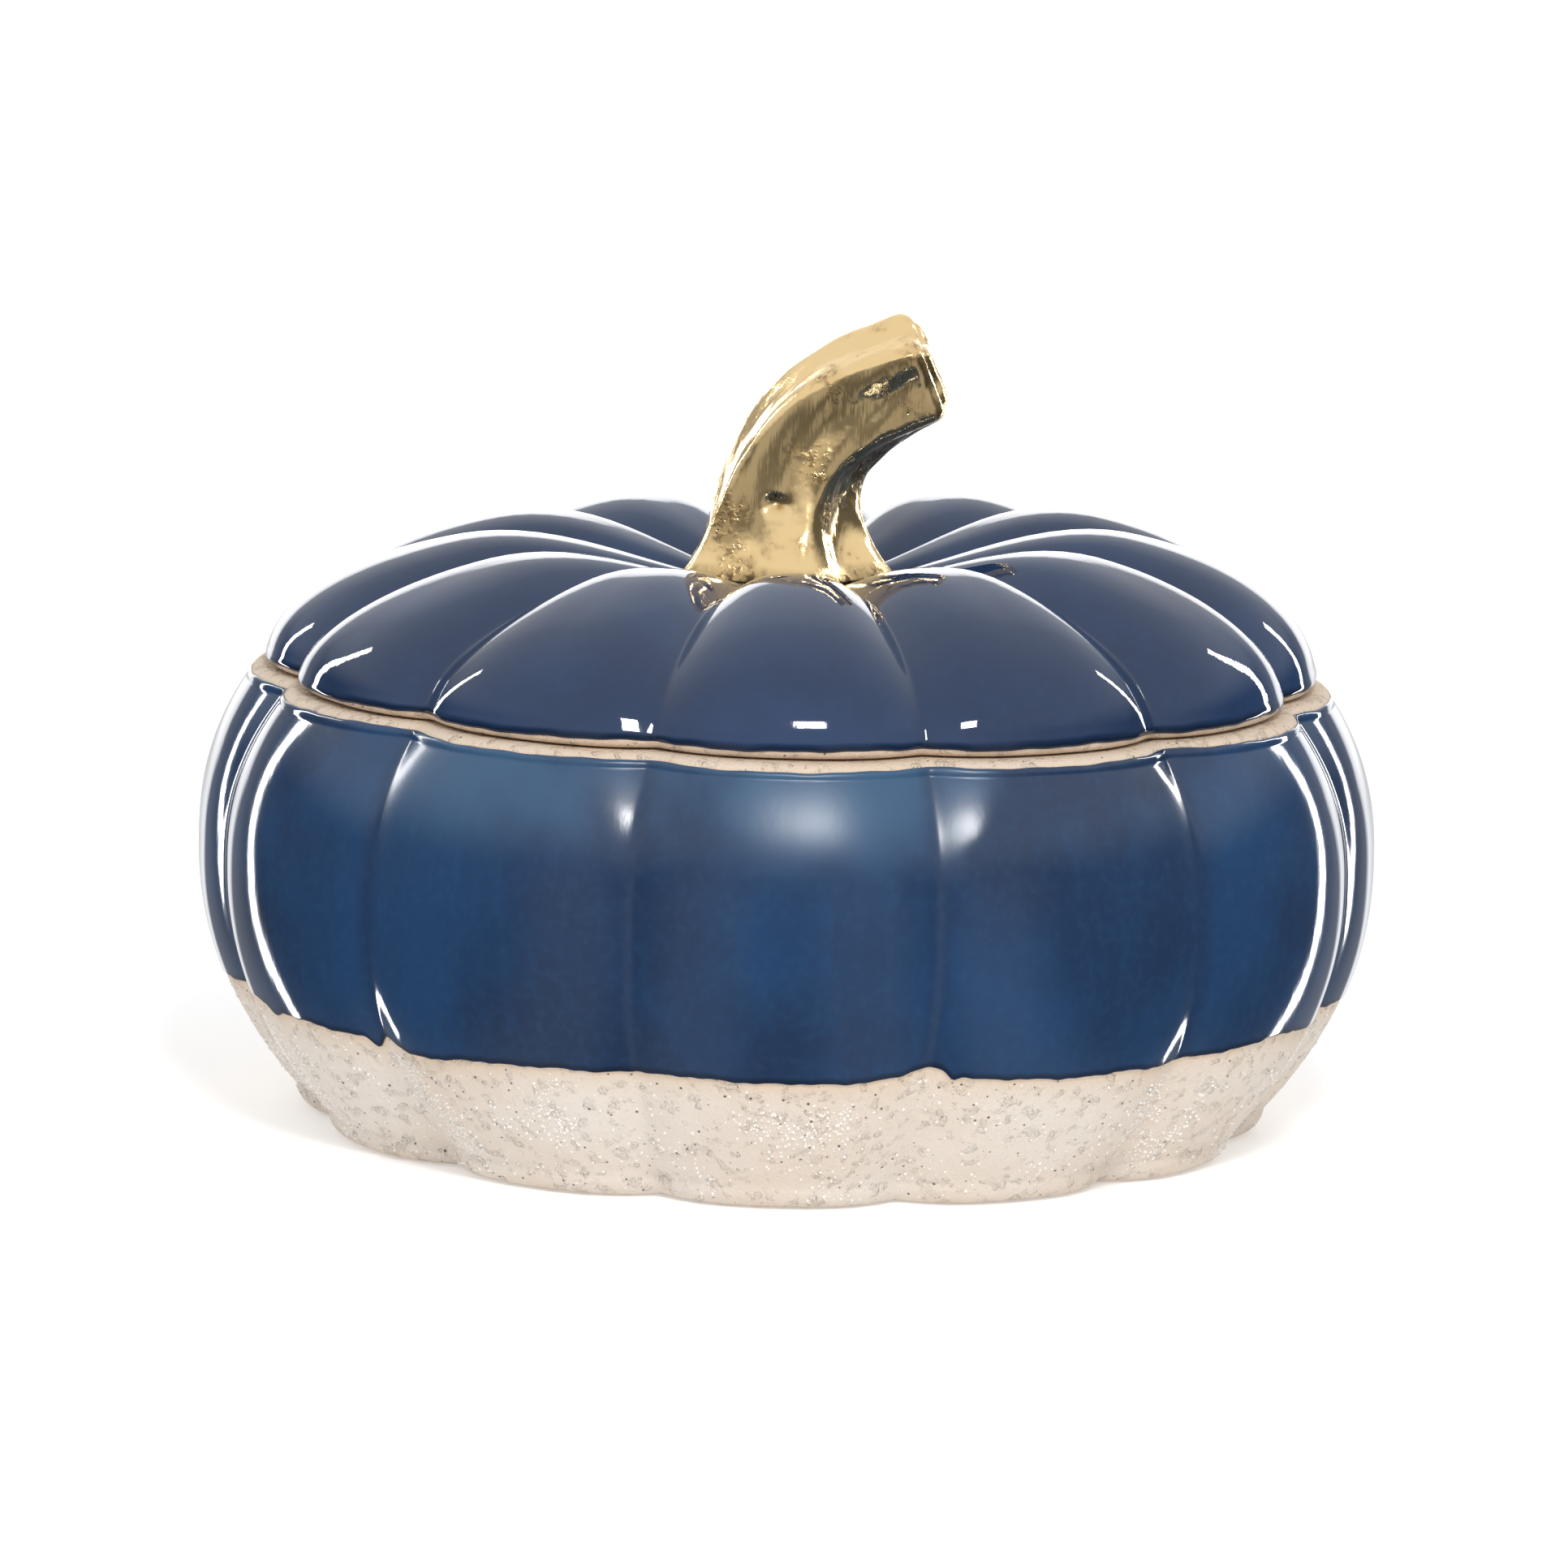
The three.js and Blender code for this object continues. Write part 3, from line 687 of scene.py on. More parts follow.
# %% Turn the bowl's clay
CLAY_COLUMNS = 576
SEAM_TOAST, FOOT_DARKENING = 0.8, 0.5
TOAST_FADE, FOOT_DARKENING_FADE = 2.5, 0.8
BARE_BELOW_GLAZE, GRIT_FADE, LOWEST_GRIT = 1.2, 2.0, 1.5


def column_angles(columns):
    return np.arange(columns) * 2 * math.pi / columns


def near_glaze(columns, heights):
    """1 at the glaze lines, fading over a few millimetres, where glaze fumes warm the clay; plus a painted
    darker band at the floor.
    """
    angle = column_angles(columns)[:, None]
    below = lower_line(angle) - heights[None]
    # the second term paints a darker, warmer band along the bottom edge, next to the floor
    toasted = (np.exp(-np.maximum(below, 0) / TOAST_FADE)
               + FOOT_DARKENING * np.exp(-heights[None] / FOOT_DARKENING_FADE))
    return np.where(heights[None] > WIDEST_HEIGHT, SEAM_TOAST, np.minimum(toasted, 1))


def bare_band(columns, outline):
    """1 on the bare clay of the bowl's outside, 0 elsewhere, with a strip left clear below the glaze."""
    angle = column_angles(columns)[:, None]
    outside = np.arange(len(outline)) < len(outline) - len(bowl_inside(crest_radius))
    height = outline[None, :, 1]
    clear = np.clip((lower_line(angle) - BARE_BELOW_GLAZE - height) / GRIT_FADE, 0, 1)
    return clear * ((height > LOWEST_GRIT) & outside[None])


bowl_blank = turned_blank("bowl_clay", bowl_crest, bowl_groove, CLAY_COLUMNS,
                          toast=near_glaze(CLAY_COLUMNS, bowl_crest[:, 1]),
                          bare=bare_band(CLAY_COLUMNS, bowl_crest))
bowl_clay = press("bowl_clay", bowl_blank, CLAY)

# %% [markdown]
# ## A coat of glaze
# Glaze has thickness: it ends in a rounded bead that casts its own small shadow. A coat is a thin closed
# shell. Its front rows follow the clay and are raised by `coat`, its back rows sink a little into the clay,
# and both meet at the edges, where the coat is 0 thick. Rows crowd together near the edges, where the shape
# changes fast.

# %% Make coats
COAT_COLUMNS = 1080
GLAZE_THICKNESS, LINING_THICKNESS, BACK_DEPTH = 0.38, 0.3, 0.2
EDGE_ROUNDING, BEAD_FROM_EDGE, BEAD_WIDTH = 0.8, 1.0, 0.9
LOWER_BEAD, RIM_BEAD, LID_BEAD, LINING_BEAD = 0.28, 0.03, 0.12, 0.1
BOWL_COAT_ROWS, LID_COAT_ROWS, BACK_ROWS = 66, 64, 12
CROWDING, START_CROWDING = 0.88, 2.2


def crowded(steps, both_ends=True):
    """Steps from 0 to 1, close together at the start and, if asked, at the end."""
    s = np.linspace(0, 1, steps)
    return s - CROWDING * np.sin(2 * math.pi * s) / (2 * math.pi) if both_ends else s ** START_CROWDING


def rounded_edge(distance, thickness, bead):
    """The coat's thickness at a distance from its edge, all in mm."""
    rise = np.sqrt(np.clip(1 - (1 - np.clip(distance / EDGE_ROUNDING, 0, 1)) ** 2, 0, 1))
    return thickness * rise + bead * rise * np.exp(-((distance - BEAD_FROM_EDGE) / BEAD_WIDTH) ** 2)


def glaze_bowl_outside():
    angle = column_angles(COAT_COLUMNS)[:, None]
    low, high = lower_line(angle), upper_line(angle)
    front = low + (high - low) * crowded(BOWL_COAT_ROWS)[None]
    back = high + (low - high) * np.linspace(0, 1, BACK_ROWS)[None, 1:-1]
    z = np.concatenate([front, back], 1)
    crest, groove = (np.stack([with_shoulder(radius_at, z), z], -1)
                     for radius_at in (crest_radius, groove_radius))
    to_low, to_high = front - low, high - front
    thickness = np.minimum(rounded_edge(to_low, GLAZE_THICKNESS, LOWER_BEAD),
                           rounded_edge(to_high, GLAZE_THICKNESS, RIM_BEAD))
    coat = np.concatenate([thickness, np.full_like(back, BACK_DEPTH)], 1)
    coat[:, [0, front.shape[1] - 1]] = 0
    edge = np.concatenate([to_low, np.zeros_like(back)], 1)
    return turned_blank("bowl_glaze", crest, groove, COAT_COLUMNS, closed=True, coat=coat, edge=edge)


bowl_glaze = press("bowl_glaze", glaze_bowl_outside(), BOWL_GLAZE)

# %% [markdown]
# ## The bowl's inside glaze
# A dish for food is glazed inside. The inside isn't in view, so this coat is the plainest guess, the lid's
# blue. It covers the floor and the walls up to just below the mouth, and ends at a point in the middle of
# the floor.

# %% Coat the inside of the bowl
INSIDE_COLUMNS = 384


def coat_along(name, crest, groove):
    """A coat that starts at an edge on the first row and ends at a pole on the last."""
    steps = np.linalg.norm(np.diff(crest, axis=0), axis=1)
    distance = np.concatenate([[0], np.cumsum(steps)])
    front = rounded_edge(distance, LINING_THICKNESS, LINING_BEAD)
    back = np.full(len(crest) - 1, BACK_DEPTH)
    return turned_blank(name, np.concatenate([crest, crest[:0:-1]]), np.concatenate([groove, groove[:0:-1]]),
                        INSIDE_COLUMNS, closed=True, coat=np.concatenate([front, back]),
                        edge=np.concatenate([distance, np.zeros(len(back))]))


def below_mouth(outline):
    """The inside's rows from the mouth's wall down, with extra rows at the start for the rounded edge."""
    start = outline[0] - (0, 1.0)
    fine = start + np.array([[0, -d] for d in (0, 0.15, 0.35, 0.6, 0.9)])
    return np.concatenate([fine, outline[1:]])


bowl_lining = press("bowl_lining", coat_along(
    "bowl_lining", *(below_mouth(bowl_inside(radius_at)) for radius_at in (crest_radius, groove_radius))),
    LID_GLAZE)

# %% [markdown]
# ## The lid's clay
# The lid's dome is a power curve too, higher along the crests than along the grooves, with a hollow in the
# crown for the stem's foot. Underneath, a round locating ring drops into the bowl's mouth. The rows start
# at the middle of the underside, run out along it, round the ring and the bare edge, and up over the dome
# to the crown.

# %% Turn the lid's clay
LID_GROOVE, LID_EDGE_ROUND = 4.5, 2.0
CREST_DOME, GROOVE_DOME = (LID_RADIUS, 26.5, 3.0), (LID_RADIUS - LID_GROOVE, 22.8, 2.2)  # radius, rise, power
CROWN_DIP, CROWN_DIP_RADIUS, CROWN_LEAN = 12.5, 58.0, 0.11
CROWN_FLAT = 10.2  # inside this radius, crests and grooves run together at the middle of the crown
LID_WALL, RING_WALL, RING_DEPTH, RING_CLEARANCE = 5.2, 4.0, 6.5, 1.0
UNDER_ROWS, DOME_ROWS = 24, 56


def dome(shape, turn, crown_rise):
    """Points of the dome at the given angles of its power curve, from 0 at the edge to a right angle."""
    radius, rise, power = shape
    r = radius * np.maximum(np.cos(turn), 0) ** (2 / power)
    r = np.where(turn > math.pi / 2 - 1e-6, 0.0, r)
    meet = np.maximum(0, 1 - r / CROWN_FLAT)
    dip = np.where(r < CROWN_DIP_RADIUS, CROWN_DIP * np.cos(math.pi / 2 * r / CROWN_DIP_RADIUS) ** 2, 0)
    return np.stack([r, SEAM + DOME_BASE + (rise + (crown_rise - rise) * meet) * np.sin(turn) - dip], -1)


def pad_rows(points, count):
    """The same curve in a fixed number of rows, so that crest and groove outlines match row for row."""
    steps = np.linalg.norm(np.diff(points, axis=0), axis=1)
    distance = np.concatenate([[0], np.cumsum(steps)])
    places = np.linspace(0, distance[-1], count)
    return np.stack([np.interp(places, distance, points[:, k]) for k in (0, 1)], 1)


def lid_outline(shape):
    radius, rise, power = shape
    inner = (radius - LID_WALL, rise - LID_WALL - 1, power)
    turn = math.pi / 2 * (1 - np.linspace(0, 1, 30) ** 1.3)
    under = dome(inner, turn, CREST_DOME[1] - LID_WALL - 1)
    ring = MOUTH_RADIUS - RING_CLEARANCE
    inside = ring - RING_WALL
    under = under[under[:, 0] < inside - 0.6]
    low = SEAM - RING_DEPTH
    ring_rows = [(inside, under[-1, 1] - 0.8), (inside, SEAM), (inside, low + 1), (inside + 0.4, low + 0.2),
                 (inside + 1.2, low), (ring - 1, low), (ring - 0.2, low + 0.4), (ring, low + 1.2),
                 (ring, SEAM - 0.6), (ring + 0.4, SEAM + FIT_GAP / 2)]
    edge = bend((radius - LID_EDGE_ROUND, SEAM + FIT_GAP / 2 + LID_EDGE_ROUND), LID_EDGE_ROUND, -90, 0, 8)
    start = math.asin((LID_EDGE_ROUND - DOME_BASE + 0.6) / rise)
    over = dome(shape, start + (math.pi / 2 - start) * np.linspace(0, 1, DOME_ROWS), CREST_DOME[1])
    return np.concatenate([pad_rows(under, UNDER_ROWS), ring_rows, edge, over])


lid_crest, lid_groove = lid_outline(CREST_DOME), lid_outline(GROOVE_DOME)
lid_blank = turned_blank("lid_clay", lid_crest, lid_groove, CLAY_COLUMNS,
                         toast=np.full(len(lid_crest), SEAM_TOAST))
lid_clay = press("lid_clay", lid_blank, CLAY, CROWN_LEAN)

# %% [markdown]
# ## The lid's glaze
# The lid is dipped upside down to just short of its edge, so its coat runs from a line about a millimetre
# and a half above the seam to the crown. The inside of the dome gets a thin lining.

# %% Coat the lid
MM_PER_RADIAN = 26.0  # how far the dome's outline runs, near its edge, for a radian of its power curve


def glaze_lid_outside():
    angle = column_angles(COAT_COLUMNS)[:, None]
    blend = off_crest(angle) ** RIB_FULLNESS
    rise = CREST_DOME[1] + (GROOVE_DOME[1] - CREST_DOME[1]) * blend
    start = np.arcsin((lid_line(angle) - SEAM - DOME_BASE) / rise)
    front = start + (math.pi / 2 - start) * crowded(LID_COAT_ROWS, both_ends=False)[None]
    back = (math.pi / 2 + (start - math.pi / 2) * np.linspace(0, 1, BACK_ROWS)[None])[:, :-1]
    turn = np.concatenate([front, back], 1)
    crest, groove = (dome(shape, turn, CREST_DOME[1]) for shape in (CREST_DOME, GROOVE_DOME))
    from_edge = (front - start) * MM_PER_RADIAN
    edge = np.concatenate([from_edge, np.zeros_like(back)], 1)
    thickness = rounded_edge(from_edge, GLAZE_THICKNESS, LID_BEAD)
    coat = np.concatenate([thickness, np.full_like(back, BACK_DEPTH)], 1)
    return turned_blank("lid_glaze", crest, groove, COAT_COLUMNS, closed=True, coat=coat, edge=edge)


def lid_lining_rows(outline):
    rows = pad_rows(outline[:UNDER_ROWS], UNDER_ROWS)[::-1]
    return np.concatenate([[rows[0]], [rows[0] + (rows[1] - rows[0]) * k for k in (0.05, 0.12, 0.25, 0.5)],
                           rows[1:]])


lid_glaze = press("lid_glaze", glaze_lid_outside(), LID_GLAZE, CROWN_LEAN)
lid_lining = press("lid_lining", coat_along("lid_lining", lid_lining_rows(lid_crest),
                                            lid_lining_rows(lid_groove)), LID_GLAZE, CROWN_LEAN)

# %% [markdown]
# ## Grit in the clay
# The clay body holds coarse white grit that stands out of the bare surface, thickly in some patches and
# hardly at all in others. Thousands of grains are a job for Geometry Nodes: points are scattered over the
# bowl where the `bare` attribute allows, thinned by a cloudy noise so that they gather in patches, and each
# gets a tiny faceted stone of its own size and turn. A stone has only twenty faces, because there are so
# many.

# %% Scatter the grit
FULL_TURN = 6.28
STONE_SHAPE, STONE_FACES = (0.8, 0.65), 20  # a stone's width and height as shares of its length


def random_value(kind, low, high, seed):
    return wire(seed.id_data, "FunctionNodeRandomValue", low, high, None, seed, data_type=kind)[0]


def make_grit_scatter():
    tree, given = new_tree("grit_scatter", "GeometryNodeTree", {
        "Geometry": ("geometry", None), "Most per square metre": ("value", 1.0e6),
        "Patch size": ("value", 0.02), "Smallest": ("value", 0.00025), "Largest": ("value", 0.00055),
        "Seed": ("count", 1), "Finish": ("material", None)}, {"Geometry": "geometry"})
    tree.is_modifier = True
    per_patch = divided(1.0, given["Patch size"])
    cloud = wire(tree, "ShaderNodeTexNoise", None, per_patch, 2.0, 0.5)[0]
    patchy = wire(tree, "ShaderNodeMapRange", cloud, 0.54, 0.66, 0.035, 1.0)[0]
    density = times(times(patchy, named(tree, "bare")), given["Most per square metre"])
    points = wire(tree, "GeometryNodeDistributePointsOnFaces", given["Geometry"], None, density,
                  given["Seed"])[0]
    stone = wire(tree, "GeometryNodeMeshIcoSphere", 1.0, 1)[0]
    size = random_value("FLOAT", given["Smallest"], given["Largest"], given["Seed"])
    turn = random_value("FLOAT_VECTOR", (0, 0, 0), (FULL_TURN, FULL_TURN, FULL_TURN), given["Seed"])
    turned = wire(tree, "FunctionNodeEulerToRotation", turn)[0]
    width, height = STONE_SHAPE
    scale = wire(tree, "ShaderNodeCombineXYZ", size, times(size, width), times(size, height))[0]
    placed = wire(tree, "GeometryNodeInstanceOnPoints", points, None, stone, None, None, turned, scale)[0]
    stones = wire(tree, "GeometryNodeRealizeInstances", placed)[0]
    finish_tree(tree, Geometry=wire(tree, "GeometryNodeSetMaterial", stones, None, given["Finish"])[0])
    return tree


bowl_grit = run_tree("bowl_grit", bowl_clay.data.copy(), make_grit_scatter(), {
    "Most per square metre": 2.25e6, "Patch size": 0.019, "Smallest": 0.00015, "Largest": 0.00040, "Seed": 7,
    "Finish": GRIT})
print("grit stones:", len(bowl_grit.data.polygons) // STONE_FACES)

# %% [markdown]
# ## The gilded stem
# The stem is a fluted tube that sweeps up and over, twisting a little, with a flared foot and a blunt end.
# It could be a curve with a profile, but the ridges grow taller at the foot and turn as they climb, so the
# mesh is worked out point by point: rows along a curve, columns round it, and a radius that depends on
# both.

# %% Shape the stem
STEM_OFFSET, STEM_SINK, FOOT_LIFT = -2.0, 0.7, 2.7
NECK_RADIUS, TIP_RADIUS, STEM_TAPER, FOOT_FLARE, FLARE_HEIGHT = 10.2, 9.2, 4.0, 11.2, 8.7
STEM_RIDGES, NECK_RIDGE, TOE_RIDGE = 5, 1.1, 1.8
STEM_TWIST, FIRST_RIDGE = math.radians(38), math.radians(10)
STEM_LEAN, STEM_RISE, STEM_RUN, STEM_SWAY = 24.3, 39.2, 24.0, 2.0
TIP_RUN, TIP_ANGLE, TIP_ROUND, TIP_DOME = 22.0, math.radians(68), 2.2, 1.6
FOOT_ROUNDING, LEVEL_RUN = 0.7, 9.0  # of the foot's lower edge; length over which the rows turn level
# A pinch in the front of the neck, where the casting was handled: in millimetres, and then in radians.
DIMPLE_DEPTH, DIMPLE_HEIGHT, DIMPLE_SPAN = 1.3, 16.5, 1.3
DIMPLE_TURN, DIMPLE_WIDTH = 0.54, 0.15
DENT_TWIST = 0.35
DARK_FOOT_TOP, DARK_FOOT_RUN, DIMPLE_DARKENING = 1.6, 2.0, 0.5  # where the gold is painted darker: the foot's lower edge and the pinch
TIP_ROWS = np.radians([12, 26, 40, 54, 66, 78, 90])
STEM_ROWS, STEM_COLUMNS = 190, 240


def stem_path(steps):
    """Centre and direction at even steps along the stem's centre line, in the XZ plane, and its length."""
    base = np.array([STEM_OFFSET, SEAM + DOME_BASE + CREST_DOME[1] - CROWN_DIP - STEM_SINK])
    tip = base + (STEM_LEAN, STEM_RISE)
    toward = np.array([math.sin(TIP_ANGLE), math.cos(TIP_ANGLE)])
    hold = np.array([base, base + (-STEM_SWAY, STEM_RUN), tip - toward * TIP_RUN, tip])
    t = np.linspace(0, 1, 2000)[:, None]
    curve = (hold[0] * (1 - t) ** 3 + 3 * hold[1] * t * (1 - t) ** 2 + 3 * hold[2] * t * t * (1 - t)
             + hold[3] * t ** 3)
    distance = np.concatenate([[0], np.cumsum(np.linalg.norm(np.diff(curve, axis=0), axis=1))])
    places = np.linspace(0, distance[-1], steps)
    centre = np.stack([np.interp(places, distance, curve[:, k]) for k in (0, 1)], 1)
    direction = np.gradient(centre, axis=0)
    return centre, direction / np.linalg.norm(direction, axis=1)[:, None], distance[-1]


def stem_radius(along, angle, length):
    """The stem's radius at a distance along it and an angle round it: flared, ridged and a little dented."""
    flare = np.exp(-along / FLARE_HEIGHT)
    radius = NECK_RADIUS + (TIP_RADIUS - NECK_RADIUS) * (along / length) ** STEM_TAPER + FOOT_FLARE * flare
    turn = angle - FIRST_RIDGE - STEM_TWIST * along / length
    ridge = 1 - 2 * np.sqrt(np.sin(turn * STEM_RIDGES / 2) ** 2 + 0.002) ** 1.4
    dents = waves(angle + DENT_TWIST * along / FLARE_HEIGHT, 21, [(7, 0.05), (11, 0.05), (17, 0.03)])
    off_dimple = (turn + DIMPLE_TURN + math.pi) % (2 * math.pi) - math.pi
    dimple = np.exp(-((off_dimple / DIMPLE_WIDTH) ** 2 + ((along - DIMPLE_HEIGHT) / DIMPLE_SPAN) ** 2))
    return radius + ridge * (NECK_RIDGE + TOE_RIDGE * flare) + dents - DIMPLE_DEPTH * dimple, dimple


def stem_rows():
    """Rows of points from the middle of the foot's underside up to the middle of the tip."""
    centre, direction, length = stem_path(2000)
    start = np.searchsorted(centre[:, 1], SEAM + DOME_BASE + CREST_DOME[1] - CROWN_DIP + FOOT_LIFT)
    picked = np.linspace(start, len(centre) - 1, STEM_ROWS).round().astype(int)
    along = (picked / (len(centre) - 1) * length)[:, None]
    level = np.clip((along - along[0]) / LEVEL_RUN, 0, 1)
    level = level * level * (3 - 2 * level)
    direction = direction[picked] * level + np.array([[0, 1.0]]) * (1 - level)
    direction /= np.linalg.norm(direction, axis=1)[:, None]
    centre = centre[picked]
    angle = column_angles(STEM_COLUMNS)[None]
    radius, dimple = stem_radius(along, angle, length)
    from_foot = 1 - np.clip((along - along[0]) / FOOT_ROUNDING, 0, 1)
    from_tip = np.clip((along - (length - TIP_ROUND)) / TIP_ROUND, 0, 1)
    radius -= FOOT_ROUNDING * (1 - np.sqrt(1 - from_foot ** 2)) + TIP_ROUND * (1 - np.sqrt(1 - from_tip ** 2))
    side = radius * np.sin(angle)
    rows = np.stack([centre[:, :1] + side * direction[:, 1:], -radius * np.cos(angle),
                     centre[:, 1:] - side * direction[:, :1]], -1)
    forward = np.array([direction[-1, 0], 0, direction[-1, 1]])
    middle = np.array([centre[-1, 0], 0, centre[-1, 1]])
    cap = [middle + (rows[-1] - middle) * math.cos(a) + forward * TIP_DOME * math.sin(a)
           for a in TIP_ROWS]
    base = np.array([centre[0, 0], 0, centre[0, 1]])
    under = [base + (rows[0] - base) * share for share in (0, 0.5, 0.9)]
    # gold painted darker along the foot's lower edge, where it meets the lid, and in the pinch's dent
    darkened = np.maximum(np.clip(DARK_FOOT_TOP - (along - along[0]) / DARK_FOOT_RUN, 0, 1), DIMPLE_DARKENING * dimple)
    darkened = np.concatenate([np.ones((len(under), STEM_COLUMNS)), darkened, np.zeros((len(cap), STEM_COLUMNS))])
    return np.concatenate([under, rows, cap]), darkened, length


def stem_mesh():
    rows, darkened, length = stem_rows()
    count = len(rows)
    number = np.arange(count * STEM_COLUMNS).reshape(count, STEM_COLUMNS)
    number[0], number[-1] = number[0, 0], number[-1, 0]
    here, there = number[:-1], number[1:]
    corners = np.stack([here, np.roll(here, -1, 1), np.roll(there, -1, 1), there], -1)
    faces = [c[1:] for c in corners[0].tolist()] + corners[1:-1].reshape(-1, 4).tolist()
    faces += [c[:3] for c in corners[-1].tolist()]
    used, renumbered = np.unique(number, return_inverse=True)
    new_number = dict(zip(number.ravel().tolist(), renumbered.ravel().tolist()))
    mesh = bpy.data.meshes.new("gilded_stem")
    faces = [[new_number[i] for i in face] for face in faces]
    mesh.from_pydata((rows.reshape(-1, 3)[used] * MM).tolist(), [], faces)
    mesh.shade_smooth()
    mesh.materials.append(GOLD)
    store(mesh, "foot", darkened.ravel()[used], "FLOAT", "value")
    return mesh, length


stem_data, stem_length = stem_mesh()
gilded_stem = put_in_scene("gilded_stem", stem_data)
print(f"stem: {stem_length:.1f} mm along its curve, {volume_of(stem_data) * 1e6:.1f} cm3")

# %% [markdown]
# ## Join the pieces to the frame
# Each piece rides on the body of the CAD part that it belongs to, so lifting the lid takes its clay, its
# glaze and the stem together. The first piece made for a CAD node stands for it, and the node is hidden.

# %% Ride and replace
PIECES = [
    (bowl_clay, "bowl", "bare_stoneware", "bowl"),
    (bowl_glaze, "bowl", "bowl_glaze", None),
    (bowl_lining, "bowl", "lid_glaze", None),
    (bowl_grit, "bowl", "bare_stoneware", None),
    (lid_clay, "lid", "bare_stoneware", "lid"),
    (lid_glaze, "lid", "lid_glaze", None),
    (lid_lining, "lid", "lid_glaze", None),
    (gilded_stem, "lid", "gold_lustre", "stem"),
]
for piece, body, slot, node in PIECES:
    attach(piece, body)
    if node:
        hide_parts(node)
print("pieces:", [piece.name for piece, *_ in PIECES])

# %% [markdown]
# ## The floor
# The dish stands on a plain pale floor. Glossy glaze shows its surroundings more than its own colour, so
# light here means what the glaze reflects. The floor is clear from below, so that the foot can be looked
# at, and it isn't mirrored in the glaze, because a bright floor would drown the blue.

# %% Lay the floor
FLOOR_RADIUS, FLOOR_CORNERS, FLOOR_GLOW = 4.0, 96, 0.28
BELOW_FOOT = 0.2  # mm, so that the foot and the floor don't share a plane


def lay_floor():
    mesh = bpy.data.meshes.new("floor")
    turn = column_angles(FLOOR_CORNERS)
    level = CAD_BOX[0].z - BELOW_FOOT * MM
    ring = [(FLOOR_RADIUS * math.cos(a), FLOOR_RADIUS * math.sin(a), level) for a in turn]
    mesh.from_pydata(ring, [], [list(range(len(ring)))])
    floor = put_in_scene("floor", mesh)
    material, tree, shader, here = start_material("floor")
    cloud, _ = pattern(CLOUDY, here, 0.5, 0.2)
    drive(shader, "Base Color", mix(cloud, (0.90, 0.90, 0.90, 1), (0.92, 0.92, 0.92, 1)))
    shader.inputs["Roughness"].default_value = 0.9
    shader.inputs["Emission Color"].default_value = (1, 1, 1, 1)
    shader.inputs["Emission Strength"].default_value = FLOOR_GLOW
    clear = wire(tree, "ShaderNodeBsdfTransparent")[0]
    from_below = wire(tree, "ShaderNodeNewGeometry")[6]
    both = wire(tree, "ShaderNodeMixShader", from_below, shader.outputs[0], clear)[0]
    output = next(n for n in tree.nodes if n.type == "OUTPUT_MATERIAL")
    tree.links.new(both, output.inputs["Surface"])
    mesh.materials.append(material)
    floor.visible_glossy = False  # the glaze and gold mirror the dim studio, not a bright floor


lay_floor()

# %% [markdown]
# ## Light it
# The world is a function of direction, so each region of it can be set for what the glaze shows there: dim
# straight ahead, which darkens the middle of the glaze and gives the gold its contrast, lighter on both
# flanks, bright overhead, and brightest low down behind, which draws the pale lines along the outlines of
# the ribs.

# %% Light the scene
AHEAD_GLOW, FLANK_GLOW, SIDE_GLOW = 0.19, 0.42, 0.12
OVERHEAD_GLOW, BACKDROP_GLOW, HORIZON_GLOW, EDGE_GLOW = 0.85, 0.95, 2.8, 0.85
LAMP_DISTANCE = 1.3
STRIPS = {"left_strip": -126, "right_strip": 127}


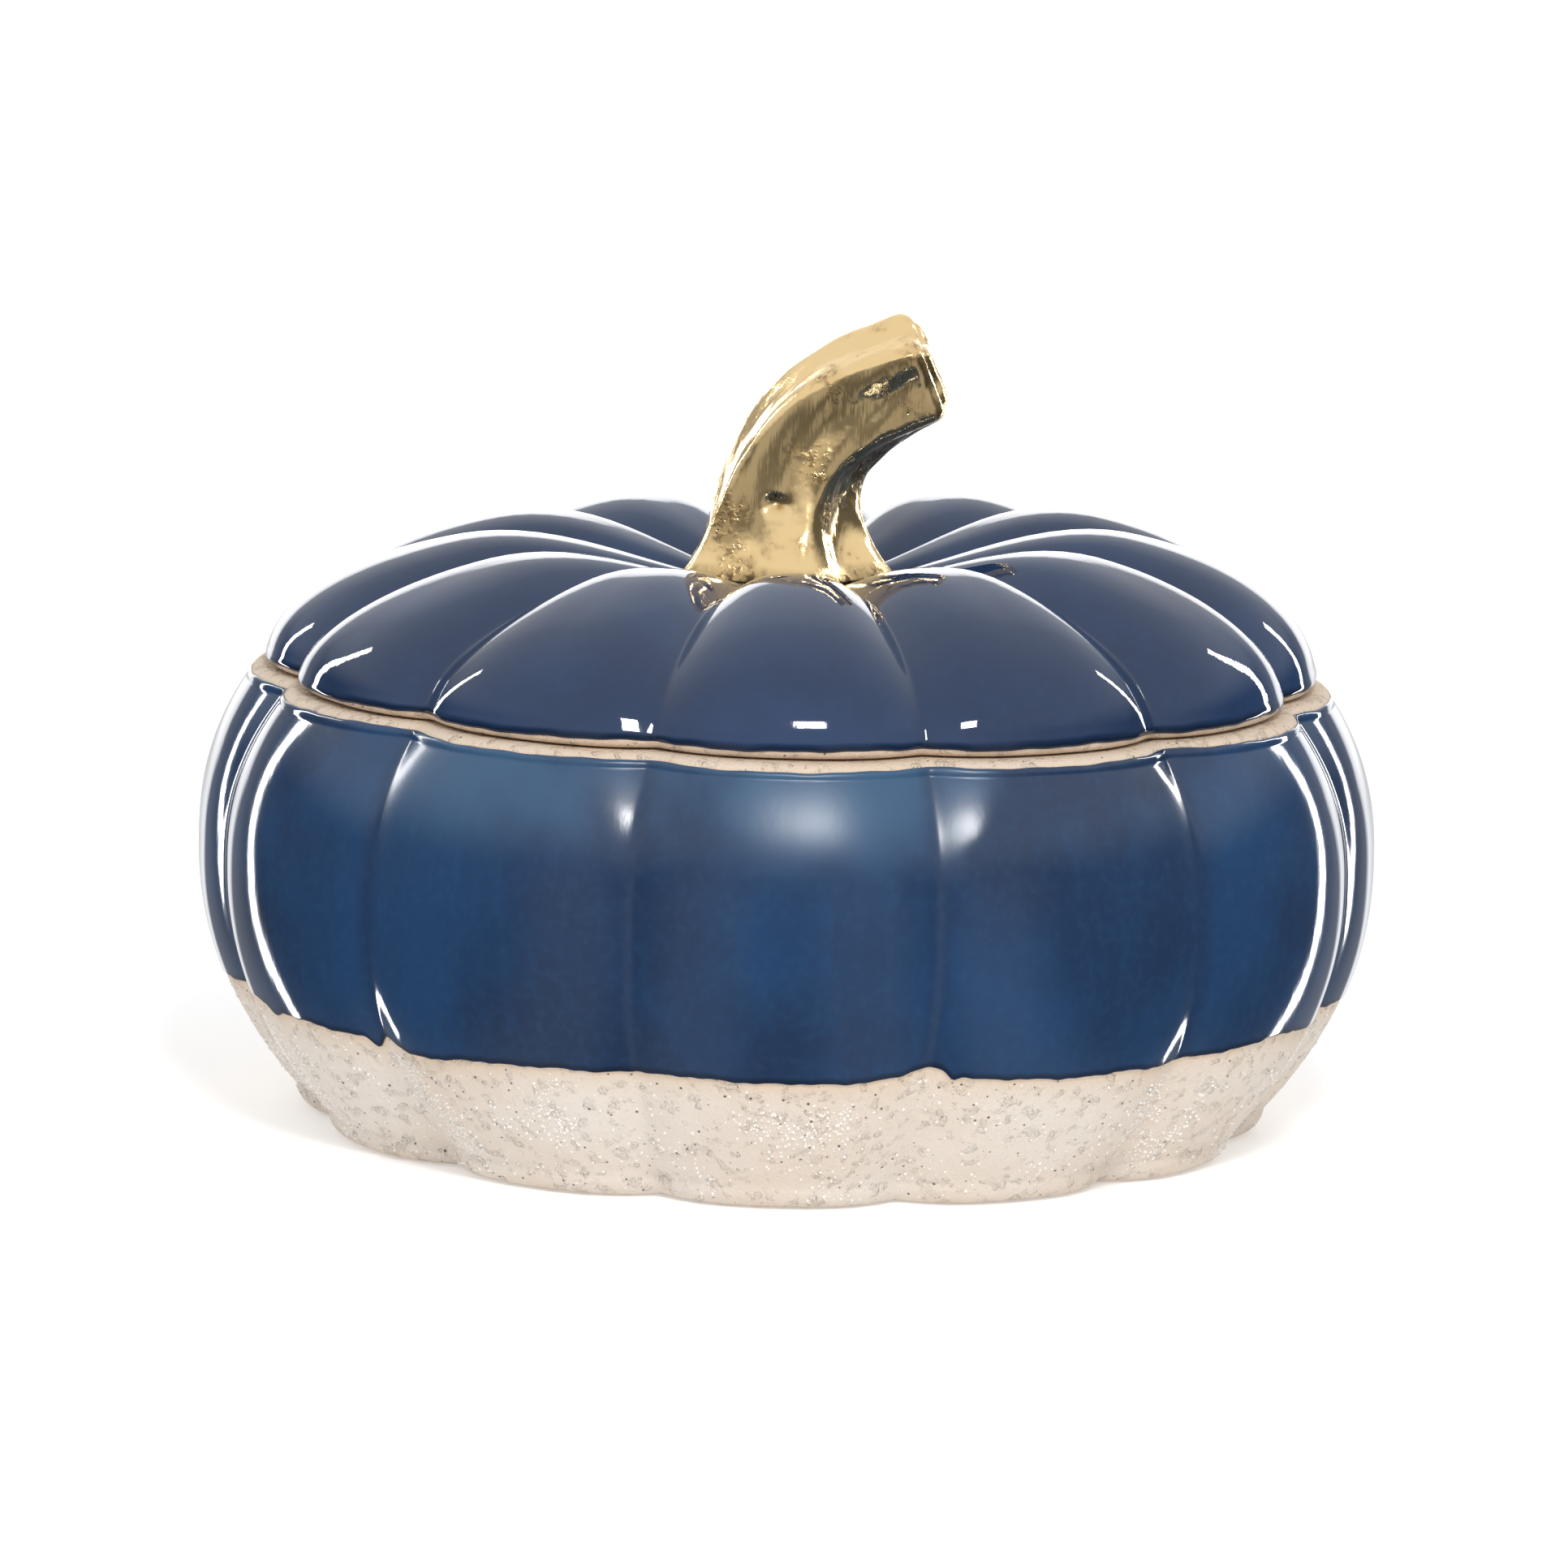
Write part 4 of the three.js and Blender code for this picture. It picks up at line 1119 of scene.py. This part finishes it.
def light_world():
    world = bpy.data.worlds.new("studio")
    bpy.context.scene.world = world
    world.use_nodes = True
    tree = world.node_tree
    background = next(n for n in tree.nodes if n.type == "BACKGROUND")
    direction = wire(tree, "ShaderNodeTexCoord")[0]
    x, y, z = wire(tree, "ShaderNodeSeparateXYZ", direction)
    backdrop = ramp(times_plus(z, 0.6, y), 0.82, 1.12)
    level = calc("ABSOLUTE", z)
    horizon = ramp(times_plus(level, -0.25, y), 0.80, 0.87)
    straight_behind = times(ramp(y, 0.86, 0.985), ramp(z, 0.0, -0.12))
    grazing = times_plus(straight_behind, EDGE_GLOW - HORIZON_GLOW, HORIZON_GLOW)
    overhead = ramp(z, 0.08, 0.52)
    below = ramp(z, 0.05, -0.25)
    aside = calc("ABSOLUTE", x)
    front = times_plus(ramp(aside, 0.04, 0.32), FLANK_GLOW - AHEAD_GLOW, AHEAD_GLOW)
    front = times_plus(ramp(aside, 0.55, 0.85), SIDE_GLOW - FLANK_GLOW, front)
    front = times_plus(below, -0.06, front)
    glow = larger(times(overhead, OVERHEAD_GLOW), front)
    glow = larger(glow, times(backdrop, BACKDROP_GLOW))
    glow = larger(glow, times(horizon, grazing))
    seen = wire(tree, "ShaderNodeLightPath")[0]
    strength = plus(times(glow, minus(1.0, seen)), seen)
    tree.links.new(strength, background.inputs["Strength"])
    background.inputs["Color"].default_value = (1, 1, 1, 1)


def panel(name, azimuth, elevation, width, height, watts, raised=0.0):
    """A soft rectangular lamp at an azimuth from the front, facing the dish, and moved up by `raised`."""
    lamp = put_in_scene(name, bpy.data.lights.new(name, "AREA"))
    lamp.data.shape = "RECTANGLE"
    lamp.data.size, lamp.data.size_y, lamp.data.energy = width, height, watts
    a, e = math.radians(azimuth), math.radians(elevation)
    away = Vector((math.sin(a) * math.cos(e), -math.cos(a) * math.cos(e), math.sin(e)))
    lamp.location = (CAD_BOX[0] + CAD_BOX[1]) / 2 + away * LAMP_DISTANCE
    lamp.rotation_mode = "QUATERNION"
    lamp.rotation_quaternion = (-away).to_track_quat("-Z", "Y")
    lamp.location.z += raised
    return lamp


light_world()
panel("key", 8, 38, width=0.24, height=0.18, watts=7)
for name, azimuth in STRIPS.items():
    strip = panel(name, azimuth, 0, width=0.09, height=1.8, watts=9.5, raised=0.1)
    strip.visible_diffuse = False  # it only draws the crisp bands near the outline
bpy.context.scene.view_settings.view_transform = "Standard"
